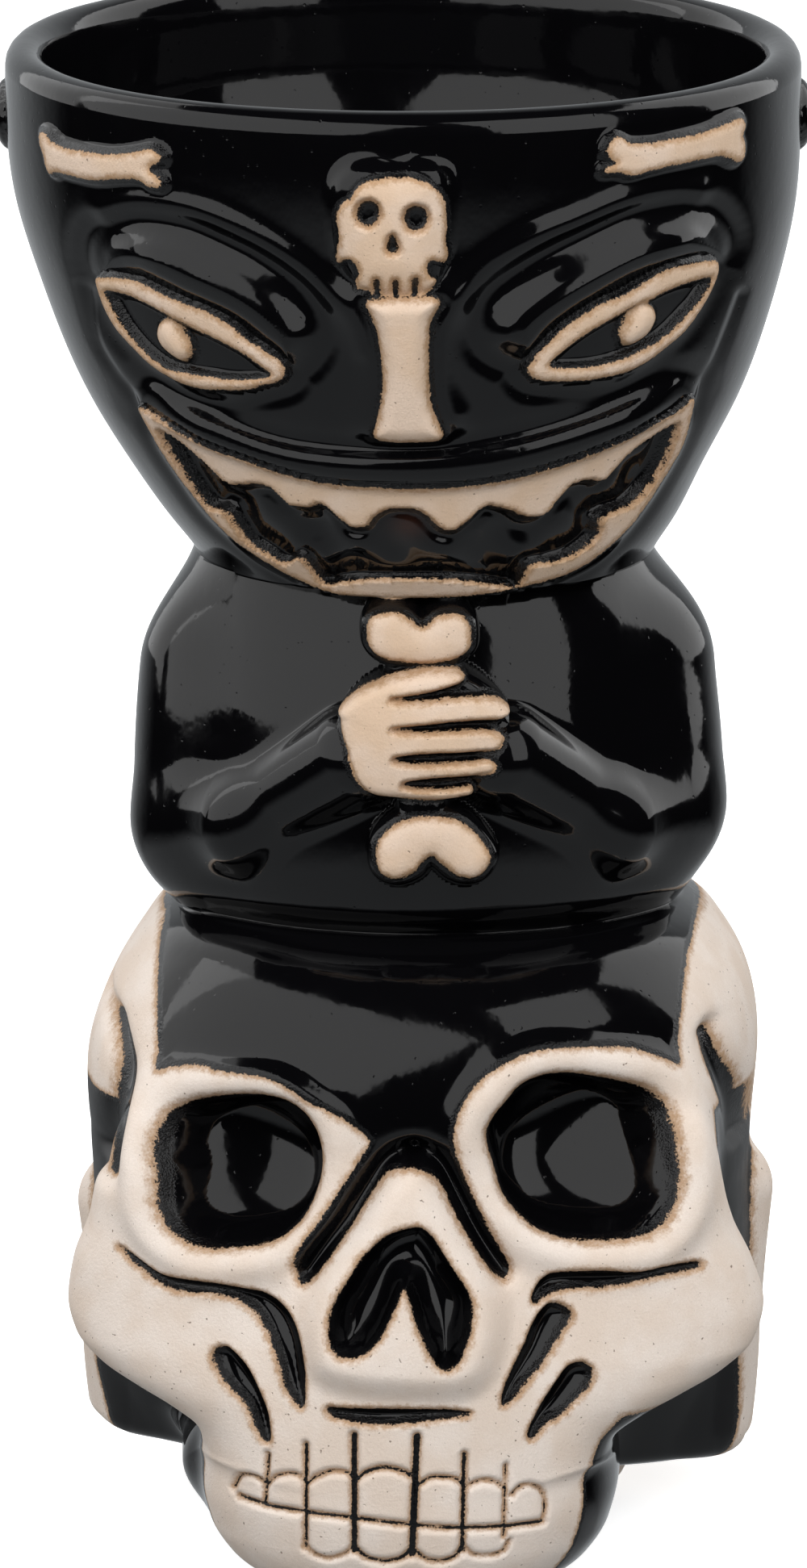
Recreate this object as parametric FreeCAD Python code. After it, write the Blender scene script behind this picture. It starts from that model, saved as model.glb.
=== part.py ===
"""Tiki mug: a grinning idol's head, which is the cup, on a torso that holds a bone, on a skull.

Three hollow stoneware sections stand on each other and share one cavity. The relief on them (bones, lids,
lips, teeth, arms, cheekbones) is made of separate pressed pieces that lie face to face on the sections.
Millimetres. +Z is up, -Y is the front and +X is on the right as seen from the front. The origin is on the
flat foot, under the middle of the rim's depth.
"""

import FreeCAD
import Part
import math
import os

Vector = FreeCAD.Vector

# Driving heights, from the foot up
WAIST_Z = 79.0
NECK_Z = 121.5
RIM_Z = 185.0

# Walls
WALL = 4.8
FACE_WALL = 14.5  # at the back of the skull's deep sockets
FLOOR = 5.0
RIM_ROUND = 2.0
CORNER = 2.0  # the cavity narrows by this much at the floor, on every side

# The skull looks a little to its right
SKULL_YAW = -3.7

# Sections: height, half width, front, back, centre across
HEAD = [
    (NECK_Z, 27.6, -31.0, 26.5, 0.0),
    (NECK_Z + 4.5, 30.8, -34.5, 30.0, -0.5),
    (NECK_Z + 11.5, 35.3, -38.5, 34.5, -0.8),
    (NECK_Z + 19.5, 39.8, -41.5, 39.0, -1.2),
    (NECK_Z + 27.5, 43.0, -43.8, 42.5, -1.5),
    (NECK_Z + 35.5, 45.4, -45.6, 45.2, -1.8),
    (NECK_Z + 43.5, 47.2, -47.0, 47.0, -2.1),
    (RIM_Z - 11.0, 48.0, -48.0, 48.0, -2.4),
    (RIM_Z, 48.0, -48.0, 48.0, -2.4),
]
TORSO = [
    (WAIST_Z, 30.5, -26.5, 27.5, 0.9),
    (WAIST_Z + 5.0, 32.0, -29.5, 29.5, 0.9),
    (WAIST_Z + 13.0, 33.5, -31.0, 31.0, 0.9),
    (WAIST_Z + 21.0, 33.5, -31.0, 31.0, 0.8),
    (NECK_Z - 13.5, 32.8, -30.0, 30.0, 0.6),
    (NECK_Z - 7.5, 31.4, -29.0, 29.0, 0.4),
    (NECK_Z - 3.0, 29.6, -28.0, 28.0, 0.2),
    (NECK_Z, 27.6, -27.0, 26.5, 0.0),
]
SKULL = [
    (0.0, 38.5, -8.0, 37.5, 0.0),
    (3.0, 41.0, -11.0, 40.0, 0.0),
    (12.0, 42.0, -12.0, 41.0, 0.0),
    (22.0, 42.2, -16.0, 41.5, 0.0),
    (30.0, 42.2, -24.0, 42.0, 0.0),
    (38.0, 42.2, -33.0, 42.0, 0.0),
    (46.0, 41.8, -37.5, 42.0, 0.0),
    (54.0, 41.4, -39.5, 41.5, 0.0),
    (62.0, 40.4, -39.5, 40.5, 0.2),
    (68.0, 38.9, -37.5, 38.0, 0.6),
    (WAIST_Z - 6.0, 36.6, -34.0, 34.5, 1.0),
    (WAIST_Z - 2.0, 33.6, -30.0, 30.5, 1.2),
    (WAIST_Z, 31.0, -27.0, 28.0, 1.0),
]
# The skull's front wall at each of its sections, which is thick behind the sockets
SKULL_FRONT_WALLS = [WALL] * 2 + [6.0, 8.0, 10.0, 13.0] + [FACE_WALL] * 3 + [11.0, 7.0] + [WALL] * 2
BITE_Z = 12.0  # where the skull's teeth meet
MUZZLE = [
    (BITE_Z, 25.3, -46.5, 0.0, 0.0),
    (22.0, 24.0, -46.5, 0.0, 0.0),
    (30.0, 22.5, -46.0, 0.0, 0.0),
    (38.0, 18.0, -45.0, 0.0, 0.0),
    (46.0, 12.0, -43.0, 0.0, 0.0),
]
JAW = [
    (0.0, 17.0, -40.5, 0.0, 0.0),
    (2.5, 21.5, -44.0, 0.0, 0.0),
    (7.0, 24.5, -46.0, 0.0, 0.0),
    (BITE_Z, 25.3, -46.5, 0.0, 0.0),
]
ROUND_POWER = 2.1
SKULL_POWER = 2.4
MUZZLE_POWER = 2.6
SECTION_POINTS = 28

# Relief on the head: how far each piece stands out
EAR_OUT, EAR_HALF, EAR_Z, EAR_Y = 1.8, 5.0, 176.0, 4.0
BONE_OUT = 1.6
EMBLEM_OUT = 2.6
NOSE_OUT = 3.4
LID_OUT = 3.2
EYE_RIM_OUT = 2.0
PUPIL_OUT = 1.6
LIP_OUT = 2.6
TEETH_OUT = 1.8
BROW_OUT = 1.2
RECESS = 1.4  # the depth of the mouth and of the eyes, below the wall's surface

# Relief on the torso
ELBOW_R, WRIST_R, SHOULDER_R = 7.6, 5.6, 6.4
STAFF_OUT = 4.0
HAND_OUT = 6.2
FINGER_R = 2.3

# Relief on the skull
SOCKET_DEPTH = 8.5
SOCKET_TURN = 18.0  # how far each socket looks outwards
SOCKET_Y = -35.5
SOCKET_RIM = 4.2
SOCKET_RIM_OUT = 2.0
TOOTH_OUT = 0.9

FAR = 80.0  # longer than any piece is deep


def section(z, half_width, front, back, centre_x, power, grow=0.0):
    """A closed superellipse at one height, grown outwards by grow."""
    middle = (front + back) / 2
    half_depth = (back - front) / 2 + grow
    half_width = half_width + grow
    points = []
    for i in range(SECTION_POINTS):
        turn = 2 * math.pi * i / SECTION_POINTS
        c, s = math.cos(turn), math.sin(turn)
        x = centre_x + half_width * math.copysign(abs(c) ** (2 / power), c)
        y = middle + half_depth * math.copysign(abs(s) ** (2 / power), s)
        points.append(Vector(x, y, z))
    curve = Part.BSplineCurve()
    curve.interpolate(Points=points, PeriodicFlag=True)
    return Part.Wire([curve.toShape()])


def stack(rows, power, grow=0.0):
    """A solid through a list of sections."""
    return Part.makeLoft([section(*row, power, grow) for row in rows], True, False)


def cavity(rows, power, front_walls=None, rise=0.0):
    """The space inside a stack of sections. rise lifts its lowest section, for a floor."""
    front_walls = front_walls or [WALL] * len(rows)
    inner = []
    for (z, half_width, front, back, centre_x), front_wall in zip(rows, front_walls):
        if z >= rise:
            inner.append((z, half_width - WALL, front + front_wall, back - WALL, centre_x))
    if rise:
        low = inner[0]
        inner.insert(0, (rise, low[1] - CORNER, low[2] + CORNER, low[3] - CORNER, low[4]))
    return stack(inner, power)


def spline_face(points):
    """A face in the XZ plane inside a smooth closed curve through points (x, z)."""
    curve = Part.BSplineCurve()
    curve.interpolate(Points=[Vector(x, -FAR, z) for x, z in points], PeriodicFlag=True)
    return Part.Face(Part.Wire([curve.toShape()]))


def crescent(upper, lower):
    """A band between two smooth curves that meet at both ends, pushed to the mug's middle."""
    edges = []
    for points in (upper, lower):
        curve = Part.BSplineCurve()
        curve.interpolate(Points=[Vector(x, -FAR, z) for x, z in points])
        edges.append(curve.toShape())
    return Part.Face(Part.Wire(edges)).extrude(Vector(0, FAR - 1.0, 0))


def cookie(*outlines):
    """One or more overlapping outlines, pushed from far in front to the mug's middle."""
    faces = [spline_face(points) for points in outlines]
    merged = faces[0].fuse(faces[1:]).removeSplitter() if len(faces) > 1 else faces[0]
    return merged.extrude(Vector(0, FAR - 1.0, 0))


def mirrored(points):
    return [(-x, z) for x, z in reversed(points)]


def shifted(points, across, up):
    return [(x + across, z + up) for x, z in points]


def ellipse(across, up, half_width, half_height, tilt=0.0, count=12):
    """Points of an ellipse, tilted by an angle in degrees."""
    c, s = math.cos(math.radians(tilt)), math.sin(math.radians(tilt))
    points = []
    for i in range(count):
        turn = 2 * math.pi * i / count
        u, v = half_width * math.cos(turn), half_height * math.sin(turn)
        points.append((across + u * c - v * s, up + u * s + v * c))
    return points


def rod(start, start_r, end, end_r):
    """A round bar with a ball at each end, tapered between them."""
    a, b = Vector(*start), Vector(*end)
    along = b.sub(a)
    if start_r == end_r:
        body = Part.makeCylinder(start_r, along.Length, a, along)
    else:
        body = Part.makeCone(start_r, end_r, along.Length, a, along)
    return body.fuse([Part.makeSphere(start_r, a), Part.makeSphere(end_r, b)])


def turned(shape):
    """The skull's pieces are drawn facing straight ahead, and then turned."""
    shape = shape.copy()
    shape.rotate(Vector(0, 0, 0), Vector(0, 0, 1), SKULL_YAW)
    return shape


class Relief:
    """Pieces that stand out from one stack of sections by a given height."""

    def __init__(self, rows, power):
        self.rows, self.power = rows, power
        self.core = stack(rows, power)
        self.skins = {}

    def skin(self, out):
        if out not in self.skins:
            self.skins[out] = stack(self.rows, self.power, out).cut(self.core)
        return self.skins[out]

    def piece(self, outline, out, *holes):
        if isinstance(outline, list):
            outline = cookie(outline)
        shape = outline.common(self.skin(out))
        for hole in holes:
            shape = shape.cut(hole)
        return shape

    def pocket(self, outline, depth):
        """What to cut from the core for a recess of even depth inside an outline."""
        if isinstance(outline, list):
            outline = cookie(outline)
        return outline.common(self.core.cut(stack(self.rows, self.power, -depth)))


def largest(shape):
    """The biggest solid of a shape, without the slivers a cut can leave."""
    return max(shape.Solids, key=lambda solid: solid.Volume)


# ---- Head ----

def head_cup(relief, recesses):
    cup = relief.core.cut(cavity(HEAD, ROUND_POWER))
    rim = [e for e in cup.Edges if e.BoundBox.ZMin > RIM_Z - 0.01]
    cup = cup.makeFillet(RIM_ROUND, rim)
    for recess in recesses:
        cup = cup.cut(relief.pocket(recess, RECESS))
    return cup


def ear(side, core):
    centre_x = HEAD[-1][4]
    reach = HEAD[-1][1] + EAR_OUT
    ball = Part.makeSphere(EAR_HALF, Vector(0, 0, 0))
    ball.translate(Vector(centre_x + side * (reach - EAR_HALF), EAR_Y, EAR_Z))
    return ball.cut(core)


FOREHEAD_BONE = [
    (-7.3, 1.2), (-6.6, 3.0), (-5.0, 1.9), (0.0, 1.1), (4.6, 1.5), (6.6, 2.4),
    (7.0, 0.4), (6.8, -2.2), (4.8, -2.3), (0.0, -1.5), (-5.0, -1.4), (-6.6, -2.2), (-6.6, -0.4),
]
EMBLEM = [
    (-6.6, 0.4), (-5.8, 4.6), (-2.8, 7.4), (0.6, 7.6), (4.2, 5.8), (6.4, 2.0), (6.5, -2.8),
    (4.6, -5.6), (3.8, -8.2), (0.0, -8.9), (-3.8, -8.0), (-4.9, -5.6), (-6.6, -3.4),
]
NOSE = [
    (-4.3, 8.2), (-2.6, 3.0), (-2.3, -2.0), (-3.2, -7.2), (-2.4, -9.0), (0.4, -9.4),
    (3.4, -8.8), (4.0, -6.6), (2.8, -1.0), (3.0, 4.0), (4.4, 8.6), (0.0, 9.4),
]
EYE = [
    (-11.2, 5.2), (-8.0, 5.0), (-1.0, 1.8), (6.0, -2.0), (11.0, -4.6), (9.4, -6.2),
    (4.0, -6.4), (-2.0, -4.8), (-7.0, -1.2), (-10.2, 2.8),
]
EYE_HOLE = [
    (-9.2, 3.2), (-4.0, 1.4), (2.0, -1.6), (8.6, -4.6), (4.0, -5.0), (-1.6, -3.6), (-6.0, -0.6),
]
LID = [
    (-11.6, 6.2), (-9.6, 9.2), (-5.0, 10.6), (0.6, 9.6), (6.6, 6.4), (11.6, 2.2),
    (12.6, -1.8), (10.8, -3.8), (6.0, -1.6), (-1.0, 2.2), (-8.0, 5.4),
]
# The mouth's bands, each an upper and a lower curve between the same two corners
LIP_TOP = [(-32.0, 5.0), (-24.0, 2.4), (-12.0, -0.2), (0.0, -1.0), (12.0, -0.2), (24.0, 2.4), (32.0, 5.0)]
LIP_LOW = [(-32.0, 5.0), (-24.0, -0.8), (-12.0, -3.9), (0.0, -4.8), (12.0, -3.9), (24.0, -0.8), (32.0, 5.0)]
UPPER_TEETH_TOP = [(-31.0, 1.4), (-24.0, -0.8), (-12.0, -3.9), (0.0, -4.8), (12.0, -3.9), (24.0, -0.8), (31.0, 1.4)]
UPPER_TEETH_LOW = [
    (-31.0, 1.4), (-26.0, -4.6), (-21.0, -6.4), (-17.0, -5.8), (-12.4, -9.4), (-8.0, -7.4), (-4.4, -9.8),
    (0.0, -7.0), (4.4, -9.8), (8.0, -7.4), (12.4, -9.4), (17.0, -5.8), (21.0, -6.4), (26.0, -4.6), (31.0, 1.4),
]
LOWER_TEETH_TOP = [
    (-32.0, 1.0), (-27.0, -6.6), (-20.0, -13.0), (-12.0, -17.2), (0.0, -19.2), (12.0, -17.2),
    (20.0, -13.0), (27.0, -6.6), (32.0, 1.0),
]
LOWER_TEETH_LOW = [
    (-32.0, 1.0), (-28.4, -8.2), (-20.0, -16.2), (-12.0, -20.0), (0.0, -21.0), (12.0, -20.0),
    (20.0, -16.2), (28.4, -8.2), (32.0, 1.0),
]
BROW_TOP = [(-14.0, 2.0), (-7.6, 5.4), (0.0, 7.2), (7.0, 5.6), (12.4, 0.8), (16.0, -6.6)]
BROW_LOW = [(-14.0, 2.0), (-7.4, 3.6), (0.0, 5.0), (6.2, 3.6), (11.0, -0.6), (16.0, -6.6)]
EMBLEM_EYES = [(-2.8, 3.0, 1.5, 1.4), (2.5, 2.6, 1.5, 1.4), (-0.1, -0.8, 0.7, 1.0)]
MOUTH_TOP = [(-30.0, -1.0), (-21.0, -4.4), (-10.0, -5.2), (0.0, -5.6), (10.0, -5.2), (21.0, -4.4), (30.0, -1.0)]
MOUTH_LOW = [(-30.0, -1.0), (-26.0, -8.6), (-12.0, -17.8), (0.0, -19.6), (12.0, -17.8), (26.0, -8.6), (30.0, -1.0)]
EYE_X, EYE_Z = 25.6, 155.4
BROW_AT = (-22.6, 163.6)
EYE_RIGHT_RISE = 0.8
FACE_X = -1.3  # the face's midline at the mouth
SMILE_Z = 143.0
NOSE_AT = (-2.2, 152.0)
EMBLEM_AT = (-3.6, 167.6)
BONE_LEFT = (-37.0, 175.6, -9.0)  # across, up, tilt in degrees
BONE_RIGHT = (29.4, 177.0, 9.0)


def tilted(points, degrees):
    c, s = math.cos(math.radians(degrees)), math.sin(math.radians(degrees))
    return [(x * c - z * s, x * s + z * c) for x, z in points]


def head_parts():
    relief = Relief(HEAD, ROUND_POWER)
    parts = {}
    parts["ear_left"] = ear(-1, relief.core)
    parts["ear_right"] = ear(1, relief.core)
    for name, (across, up, tilt), outline in (
        ("forehead_bone_left", BONE_LEFT, FOREHEAD_BONE),
        ("forehead_bone_right", BONE_RIGHT, mirrored(FOREHEAD_BONE)),
    ):
        parts[name] = relief.piece(shifted(tilted(outline, tilt), across, up), BONE_OUT)
    nose = relief.piece(shifted(NOSE, *NOSE_AT), NOSE_OUT)
    parts["nose_bone"] = nose
    dots = [cookie(ellipse(EMBLEM_AT[0] + x, EMBLEM_AT[1] + z, a, b)) for x, z, a, b in EMBLEM_EYES]
    parts["forehead_skull"] = relief.piece(shifted(EMBLEM, *EMBLEM_AT), EMBLEM_OUT, nose, *dots)
    recesses = []
    for name, across, up, flip in (
        ("left", FACE_X - EYE_X, EYE_Z, False),
        ("right", FACE_X + EYE_X - 1.6, EYE_Z + EYE_RIGHT_RISE, True),
    ):
        outline, hole, lid = (mirrored(p) if flip else p for p in (EYE, EYE_HOLE, LID))
        hole = cookie(shifted(hole, across, up))
        rim = relief.piece(shifted(outline, across, up), EYE_RIM_OUT, hole)
        pupil = ellipse(across + (1.6 if flip else -2.0), up - 1.2, 1.9, 2.5)
        brow_top, brow_low = (
            shifted(mirrored(p) if flip else p, -BROW_AT[0] if flip else BROW_AT[0], BROW_AT[1])
            for p in (BROW_TOP, BROW_LOW)
        )
        parts["eye_rim_" + name] = rim
        parts["pupil_" + name] = relief.piece(pupil, PUPIL_OUT, rim)
        parts["upper_lid_" + name] = relief.piece(shifted(lid, across, up), LID_OUT, rim)
        parts["brow_" + name] = relief.piece(
            crescent(brow_top, brow_low), BROW_OUT, parts["upper_lid_" + name], rim, parts["forehead_skull"]
        )
        recesses.append(hole.cut(cookie(pupil)))
    lip, upper, lower, mouth = (
        crescent(shifted(top, FACE_X, SMILE_Z), shifted(low, FACE_X, SMILE_Z))
        for top, low in (
            (LIP_TOP, LIP_LOW), (UPPER_TEETH_TOP, UPPER_TEETH_LOW),
            (LOWER_TEETH_TOP, LOWER_TEETH_LOW), (MOUTH_TOP, MOUTH_LOW),
        )
    )
    parts["upper_lip"] = relief.piece(lip, LIP_OUT)
    parts["upper_teeth"] = relief.piece(upper, TEETH_OUT, lip)
    parts["lower_teeth"] = relief.piece(lower, TEETH_OUT, lip, upper)
    recesses.append(mouth.cut(lip).cut(upper).cut(lower))
    parts["head_cup"] = head_cup(relief, recesses)
    return parts


# ---- Torso ----

SHOULDER = (30.0, 0.0, 112.5)
ELBOW = (29.4, -8.0, 88.0)
WRIST = (10.0, -29.5, 103.5)
TORSO_X = 0.9
STAFF_TOP = [
    (-5.3, 1.4), (-3.8, 3.4), (-1.8, 3.0), (0.0, 2.0), (1.8, 3.0), (3.8, 3.4), (5.2, 1.2),
    (3.8, -1.8), (2.4, -4.2), (2.4, -10.0), (0.0, -12.0), (-2.4, -10.0), (-2.4, -4.2), (-4.0, -1.6),
]
STAFF_TOP_AT = (-0.3, 116.4)
STAFF_LOW = [
    (-2.4, 13.0), (0.0, 14.5), (2.4, 13.0), (2.6, 3.6), (4.6, 2.2), (6.4, -1.8), (5.2, -3.6), (3.0, -3.0),
    (0.2, -0.8), (-2.6, -3.4), (-5.0, -3.0), (-6.2, -0.4), (-4.6, 2.2), (-2.6, 3.6),
]
STAFF_LOW_AT = (1.0, 92.0)
PALM = [
    (-9.6, 0.8), (-8.2, 4.4), (-4.4, 7.2), (0.0, 8.2), (2.6, 6.0), (2.4, 0.0), (2.0, -6.0), (-1.0, -8.0),
    (-6.0, -7.0), (-8.8, -3.6),
]
HAND_AT = (-0.2, 105.4)
# Each finger's root and tip, across and up from the hand's middle
FINGERS = [
    ((-1.0, 6.0), (3.4, 6.6)),
    ((1.0, 3.4), (7.4, 3.8)),
    ((1.0, 0.2), (7.9, 0.1)),
    ((1.0, -3.0), (7.3, -3.2)),
    ((0.0, -5.8), (4.8, -5.9)),
]


def arm(side, core):
    """Upper arm and forearm, bent at the elbow, without what the torso takes up."""
    def place(point):
        return (TORSO_X + side * point[0], point[1], point[2])

    upper = rod(place(SHOULDER), SHOULDER_R, place(ELBOW), ELBOW_R)
    fore = rod(place(ELBOW), ELBOW_R, place(WRIST), WRIST_R)
    return upper.fuse(fore).cut(core)


def torso_parts():
    relief = Relief(TORSO, ROUND_POWER)
    hollow = cavity(TORSO, ROUND_POWER)
    parts = {"torso": relief.core.cut(hollow)}
    slab = Part.makeBox(2 * FAR, 2 * FAR, NECK_Z - WAIST_Z, Vector(-FAR, -FAR, WAIST_Z))
    arms = {name: largest(arm(side, relief.core).common(slab)) for name, side in (("left", -1), ("right", 1))}
    arms["right"] = arms["right"].cut(arms["left"])
    outline = cookie(shifted(STAFF_TOP, *STAFF_TOP_AT), shifted(STAFF_LOW, *STAFF_LOW_AT))
    staff = relief.piece(outline, STAFF_OUT, arms["left"], arms["right"])
    hand = relief.piece(shifted(PALM, *HAND_AT), HAND_OUT)
    for root, tip in FINGERS:
        front = min(row[2] for row in TORSO)
        bar = rod(
            (HAND_AT[0] + root[0], front - HAND_OUT + FINGER_R, HAND_AT[1] + root[1]),
            FINGER_R,
            (HAND_AT[0] + tip[0], front - HAND_OUT + FINGER_R + 1.6, HAND_AT[1] + tip[1]),
            FINGER_R * 0.85,
        )
        hand = hand.fuse(bar)
    for other in (relief.core, arms["left"], arms["right"], staff):
        hand = hand.cut(other)
    parts["arm_left"] = arms["left"]
    parts["arm_right"] = arms["right"]
    parts["bone_staff"] = staff
    parts["hand"] = hand
    return parts


# ---- Skull ----

SOCKET_LEFT = (-19.8, 53.1, 10.6, 9.7)  # across, up, half width, half height
SOCKET_RIGHT = (21.4, 55.1, 11.0, 10.1)
NOSE_RIDGE = [
    (0.0, 54.6), (2.4, 52.6), (6.6, 45.4), (10.4, 36.6), (9.8, 31.0), (6.0, 28.4), (0.0, 28.6),
    (-6.0, 28.8), (-9.8, 31.0), (-10.2, 36.6), (-6.6, 45.4), (-2.4, 52.6),
]
NASAL_CAVITY = [
    (0.2, 48.0), (3.4, 45.6), (7.6, 38.6), (8.4, 34.0), (5.6, 31.0), (2.8, 33.0), (0.4, 40.6),
    (-2.2, 34.4), (-5.6, 32.0), (-8.0, 34.0), (-7.2, 39.0), (-3.2, 45.6),
]
NOSE_BRIDGE = [
    (26.0, 26.0, -48.0, 0.0, 0.0),
    (34.0, 26.0, -48.4, 0.0, 0.0),
    (44.0, 24.0, -46.6, 0.0, 0.0),
    (57.0, 20.0, -41.8, 0.0, 0.0),
]
NOSTRIL_BACK = -41.0
# The face below the sockets, which flares out to the cheekbones
CHEEKS = [
    (19.0, 27.0, -44.0, -22.0, 0.0),
    (24.0, 33.5, -43.5, -16.0, 0.0),
    (29.0, 39.5, -42.5, -9.0, 0.0),
    (33.5, 43.0, -41.8, -3.0, 0.0),
    (38.5, 43.4, -41.2, -1.0, 0.0),
    (43.0, 42.8, -39.4, -3.0, 0.0),
    (47.0, 40.0, -36.5, -8.0, 0.0),
]
UPPER_TEETH_X = [-19.6, -13.2, -6.9, 0.0, 6.6, 12.6, 18.2]  # each tooth's middle
LOWER_TEETH_X = [-14.6, -8.6, -2.4, 3.6, 9.4, 14.8]
UPPER_TOOTH = (BITE_Z + 4.5, 3.9, 4.0)  # up, half width, half height
LOWER_TOOTH = (BITE_Z - 3.7, 3.6, 3.2)
JAW_CAVITY = [
    (FLOOR, 16.0, -38.0, 6.0, 0.0),
    (BITE_Z, 19.0, -40.5, 6.0, 0.0),
    (26.0, 16.0, -39.0, 6.0, 0.0),
    (30.0, 13.0, -35.0, 6.0, 0.0),
]


def socket_pocket(across, up, half_width, half_height):
    """An egg-shaped hollow let into the face from the front."""
    stretch = FreeCAD.Matrix()
    stretch.scale(half_width, SOCKET_DEPTH, half_height)
    ball = Part.makeSphere(1.0).transformGeometry(stretch)
    ball.rotate(Vector(0, 0, 0), Vector(0, 0, 1), math.copysign(SOCKET_TURN, across))
    ball.translate(Vector(across, SOCKET_Y, up))
    return ball


def teeth(relief, middles, tooth, *neighbours):
    """A row of overlapping ovals, so the row is one piece with a scalloped edge."""
    up, half_width, half_height = tooth
    ovals = [ellipse(middle, up, half_width, half_height) for middle in middles]
    return relief.piece(cookie(*ovals), TOOTH_OUT, *neighbours)


def side_slab(side):
    """Everything on one side of the skull's middle."""
    return Part.makeBox(FAR, 2 * FAR, FAR, Vector(-FAR if side < 0 else 0.0, -FAR, 0.0))


def skull_parts():
    relief = Relief(SKULL, SKULL_POWER)
    core = relief.core
    muzzle_core = stack(MUZZLE, MUZZLE_POWER)
    jaw_core = stack(JAW, MUZZLE_POWER)
    jaw_hollow = stack(JAW_CAVITY, MUZZLE_POWER)
    pockets = [socket_pocket(*SOCKET_LEFT), socket_pocket(*SOCKET_RIGHT)]
    sockets = pockets[0].fuse(pockets[1])
    nostrils = spline_face(NASAL_CAVITY).extrude(Vector(0, FAR + NOSTRIL_BACK, 0))
    shell = core.cut(cavity(SKULL, SKULL_POWER, SKULL_FRONT_WALLS, FLOOR)).cut(jaw_hollow).cut(sockets)
    muzzle = muzzle_core.cut(core).cut(jaw_hollow).cut(nostrils)
    flare = stack(CHEEKS, MUZZLE_POWER).cut(core).cut(muzzle_core).cut(jaw_core)
    for across, up, half_width, half_height in (SOCKET_LEFT, SOCKET_RIGHT):
        flare = flare.cut(cookie(ellipse(across, up, half_width + SOCKET_RIM, half_height + SOCKET_RIM)))
    cheeks = {name: largest(flare.common(side_slab(side))) for name, side in (("left", -1), ("right", 1))}
    ridge = cookie(NOSE_RIDGE).common(stack(NOSE_BRIDGE, MUZZLE_POWER))
    for other in (nostrils, core, muzzle_core, *cheeks.values()):
        ridge = ridge.cut(other)
    ridge = largest(ridge)
    parts = {
        "skull": shell,
        "muzzle": largest(muzzle),
        "jaw": largest(jaw_core.cut(core).cut(jaw_hollow)),
        "nose_ridge": ridge,
        "cheekbone_left": cheeks["left"],
        "cheekbone_right": cheeks["right"],
    }
    for name, socket in (("left", SOCKET_LEFT), ("right", SOCKET_RIGHT)):
        across, up, half_width, half_height = socket
        outer = ellipse(across, up, half_width + SOCKET_RIM, half_height + SOCKET_RIM)
        inner = cookie(ellipse(across, up, half_width, half_height))
        rim = relief.piece(outer, SOCKET_RIM_OUT, inner, muzzle_core, ridge, *cheeks.values())
        parts["socket_rim_" + name] = largest(rim)
    parts["skull_upper_teeth"] = teeth(
        Relief(MUZZLE, MUZZLE_POWER), UPPER_TEETH_X, UPPER_TOOTH, *cheeks.values()
    )
    parts["skull_lower_teeth"] = teeth(Relief(JAW, MUZZLE_POWER), LOWER_TEETH_X, LOWER_TOOTH)
    return {name: turned(shape) for name, shape in parts.items()}


def main():
    os.makedirs("parts", exist_ok=True)
    for name, shape in {**head_parts(), **torso_parts(), **skull_parts()}.items():
        if len(shape.Solids) != 1:
            shape = largest(shape)
        print(f"{name:22s} valid {shape.isValid()} volume {shape.Volume:9.1f} mm3")
        shape.exportStep(f"parts/{name}.step")


main()
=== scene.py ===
import math

import bpy
import numpy as np
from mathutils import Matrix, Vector


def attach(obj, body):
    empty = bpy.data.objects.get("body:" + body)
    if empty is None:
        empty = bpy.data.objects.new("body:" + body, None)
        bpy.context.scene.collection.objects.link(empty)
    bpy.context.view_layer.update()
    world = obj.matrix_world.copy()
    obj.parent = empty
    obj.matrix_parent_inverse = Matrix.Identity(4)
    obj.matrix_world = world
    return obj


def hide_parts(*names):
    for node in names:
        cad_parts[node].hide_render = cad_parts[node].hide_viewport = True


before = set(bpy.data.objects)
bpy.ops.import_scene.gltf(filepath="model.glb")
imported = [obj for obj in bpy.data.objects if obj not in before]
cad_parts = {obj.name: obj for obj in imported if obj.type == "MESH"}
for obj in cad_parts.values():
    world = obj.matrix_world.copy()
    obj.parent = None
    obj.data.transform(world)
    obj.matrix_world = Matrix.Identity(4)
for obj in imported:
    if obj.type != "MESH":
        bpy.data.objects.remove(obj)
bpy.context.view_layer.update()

# The outside is one grid round an axis that leans a little. A big form gives each point's radius, and
# traced outlines give its relief and where the clay is bare. The grid is then cut into one closed piece
# per CAD node. Lengths are in millimetres in the CAD's frame until a mesh is made: x to the right, y to
# the back, z up.

MM = 0.001

STEP = 0.32  # between rows, and between columns at the front
BACK_STEP = 1.5
GRID_RADIUS = 46.0
FRONT_HALF_ANGLE = math.radians(104)
FIRST_ROW_Z = 1.2
FLOOR_Z = 15.5
WAIST_Z = 79.0
NECK_Z = 121.5
RIM_Z = 185.0
RIM_DIP = 2.6
WALL = 4.8
LIP_START = RIM_Z - WALL / 2
SKULL_YAW = math.radians(-3.7)
TILE_DEPTH = 1.0

# Powers of the superellipses that the sections are
ROUND = 2.1
BLOCKY = 2.4
FACE = 2.6

# Distances further than these from an outline or a line aren't measured
FAR = 7.0
LINE_FAR = 6.0
CLAY_FAR = 6.0

AXIS = np.array([(0.0, 0.0), (79.0, 0.8), (121.0, 0.0), (174.0, -2.4), (186.0, -2.4)])  # z, x

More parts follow.
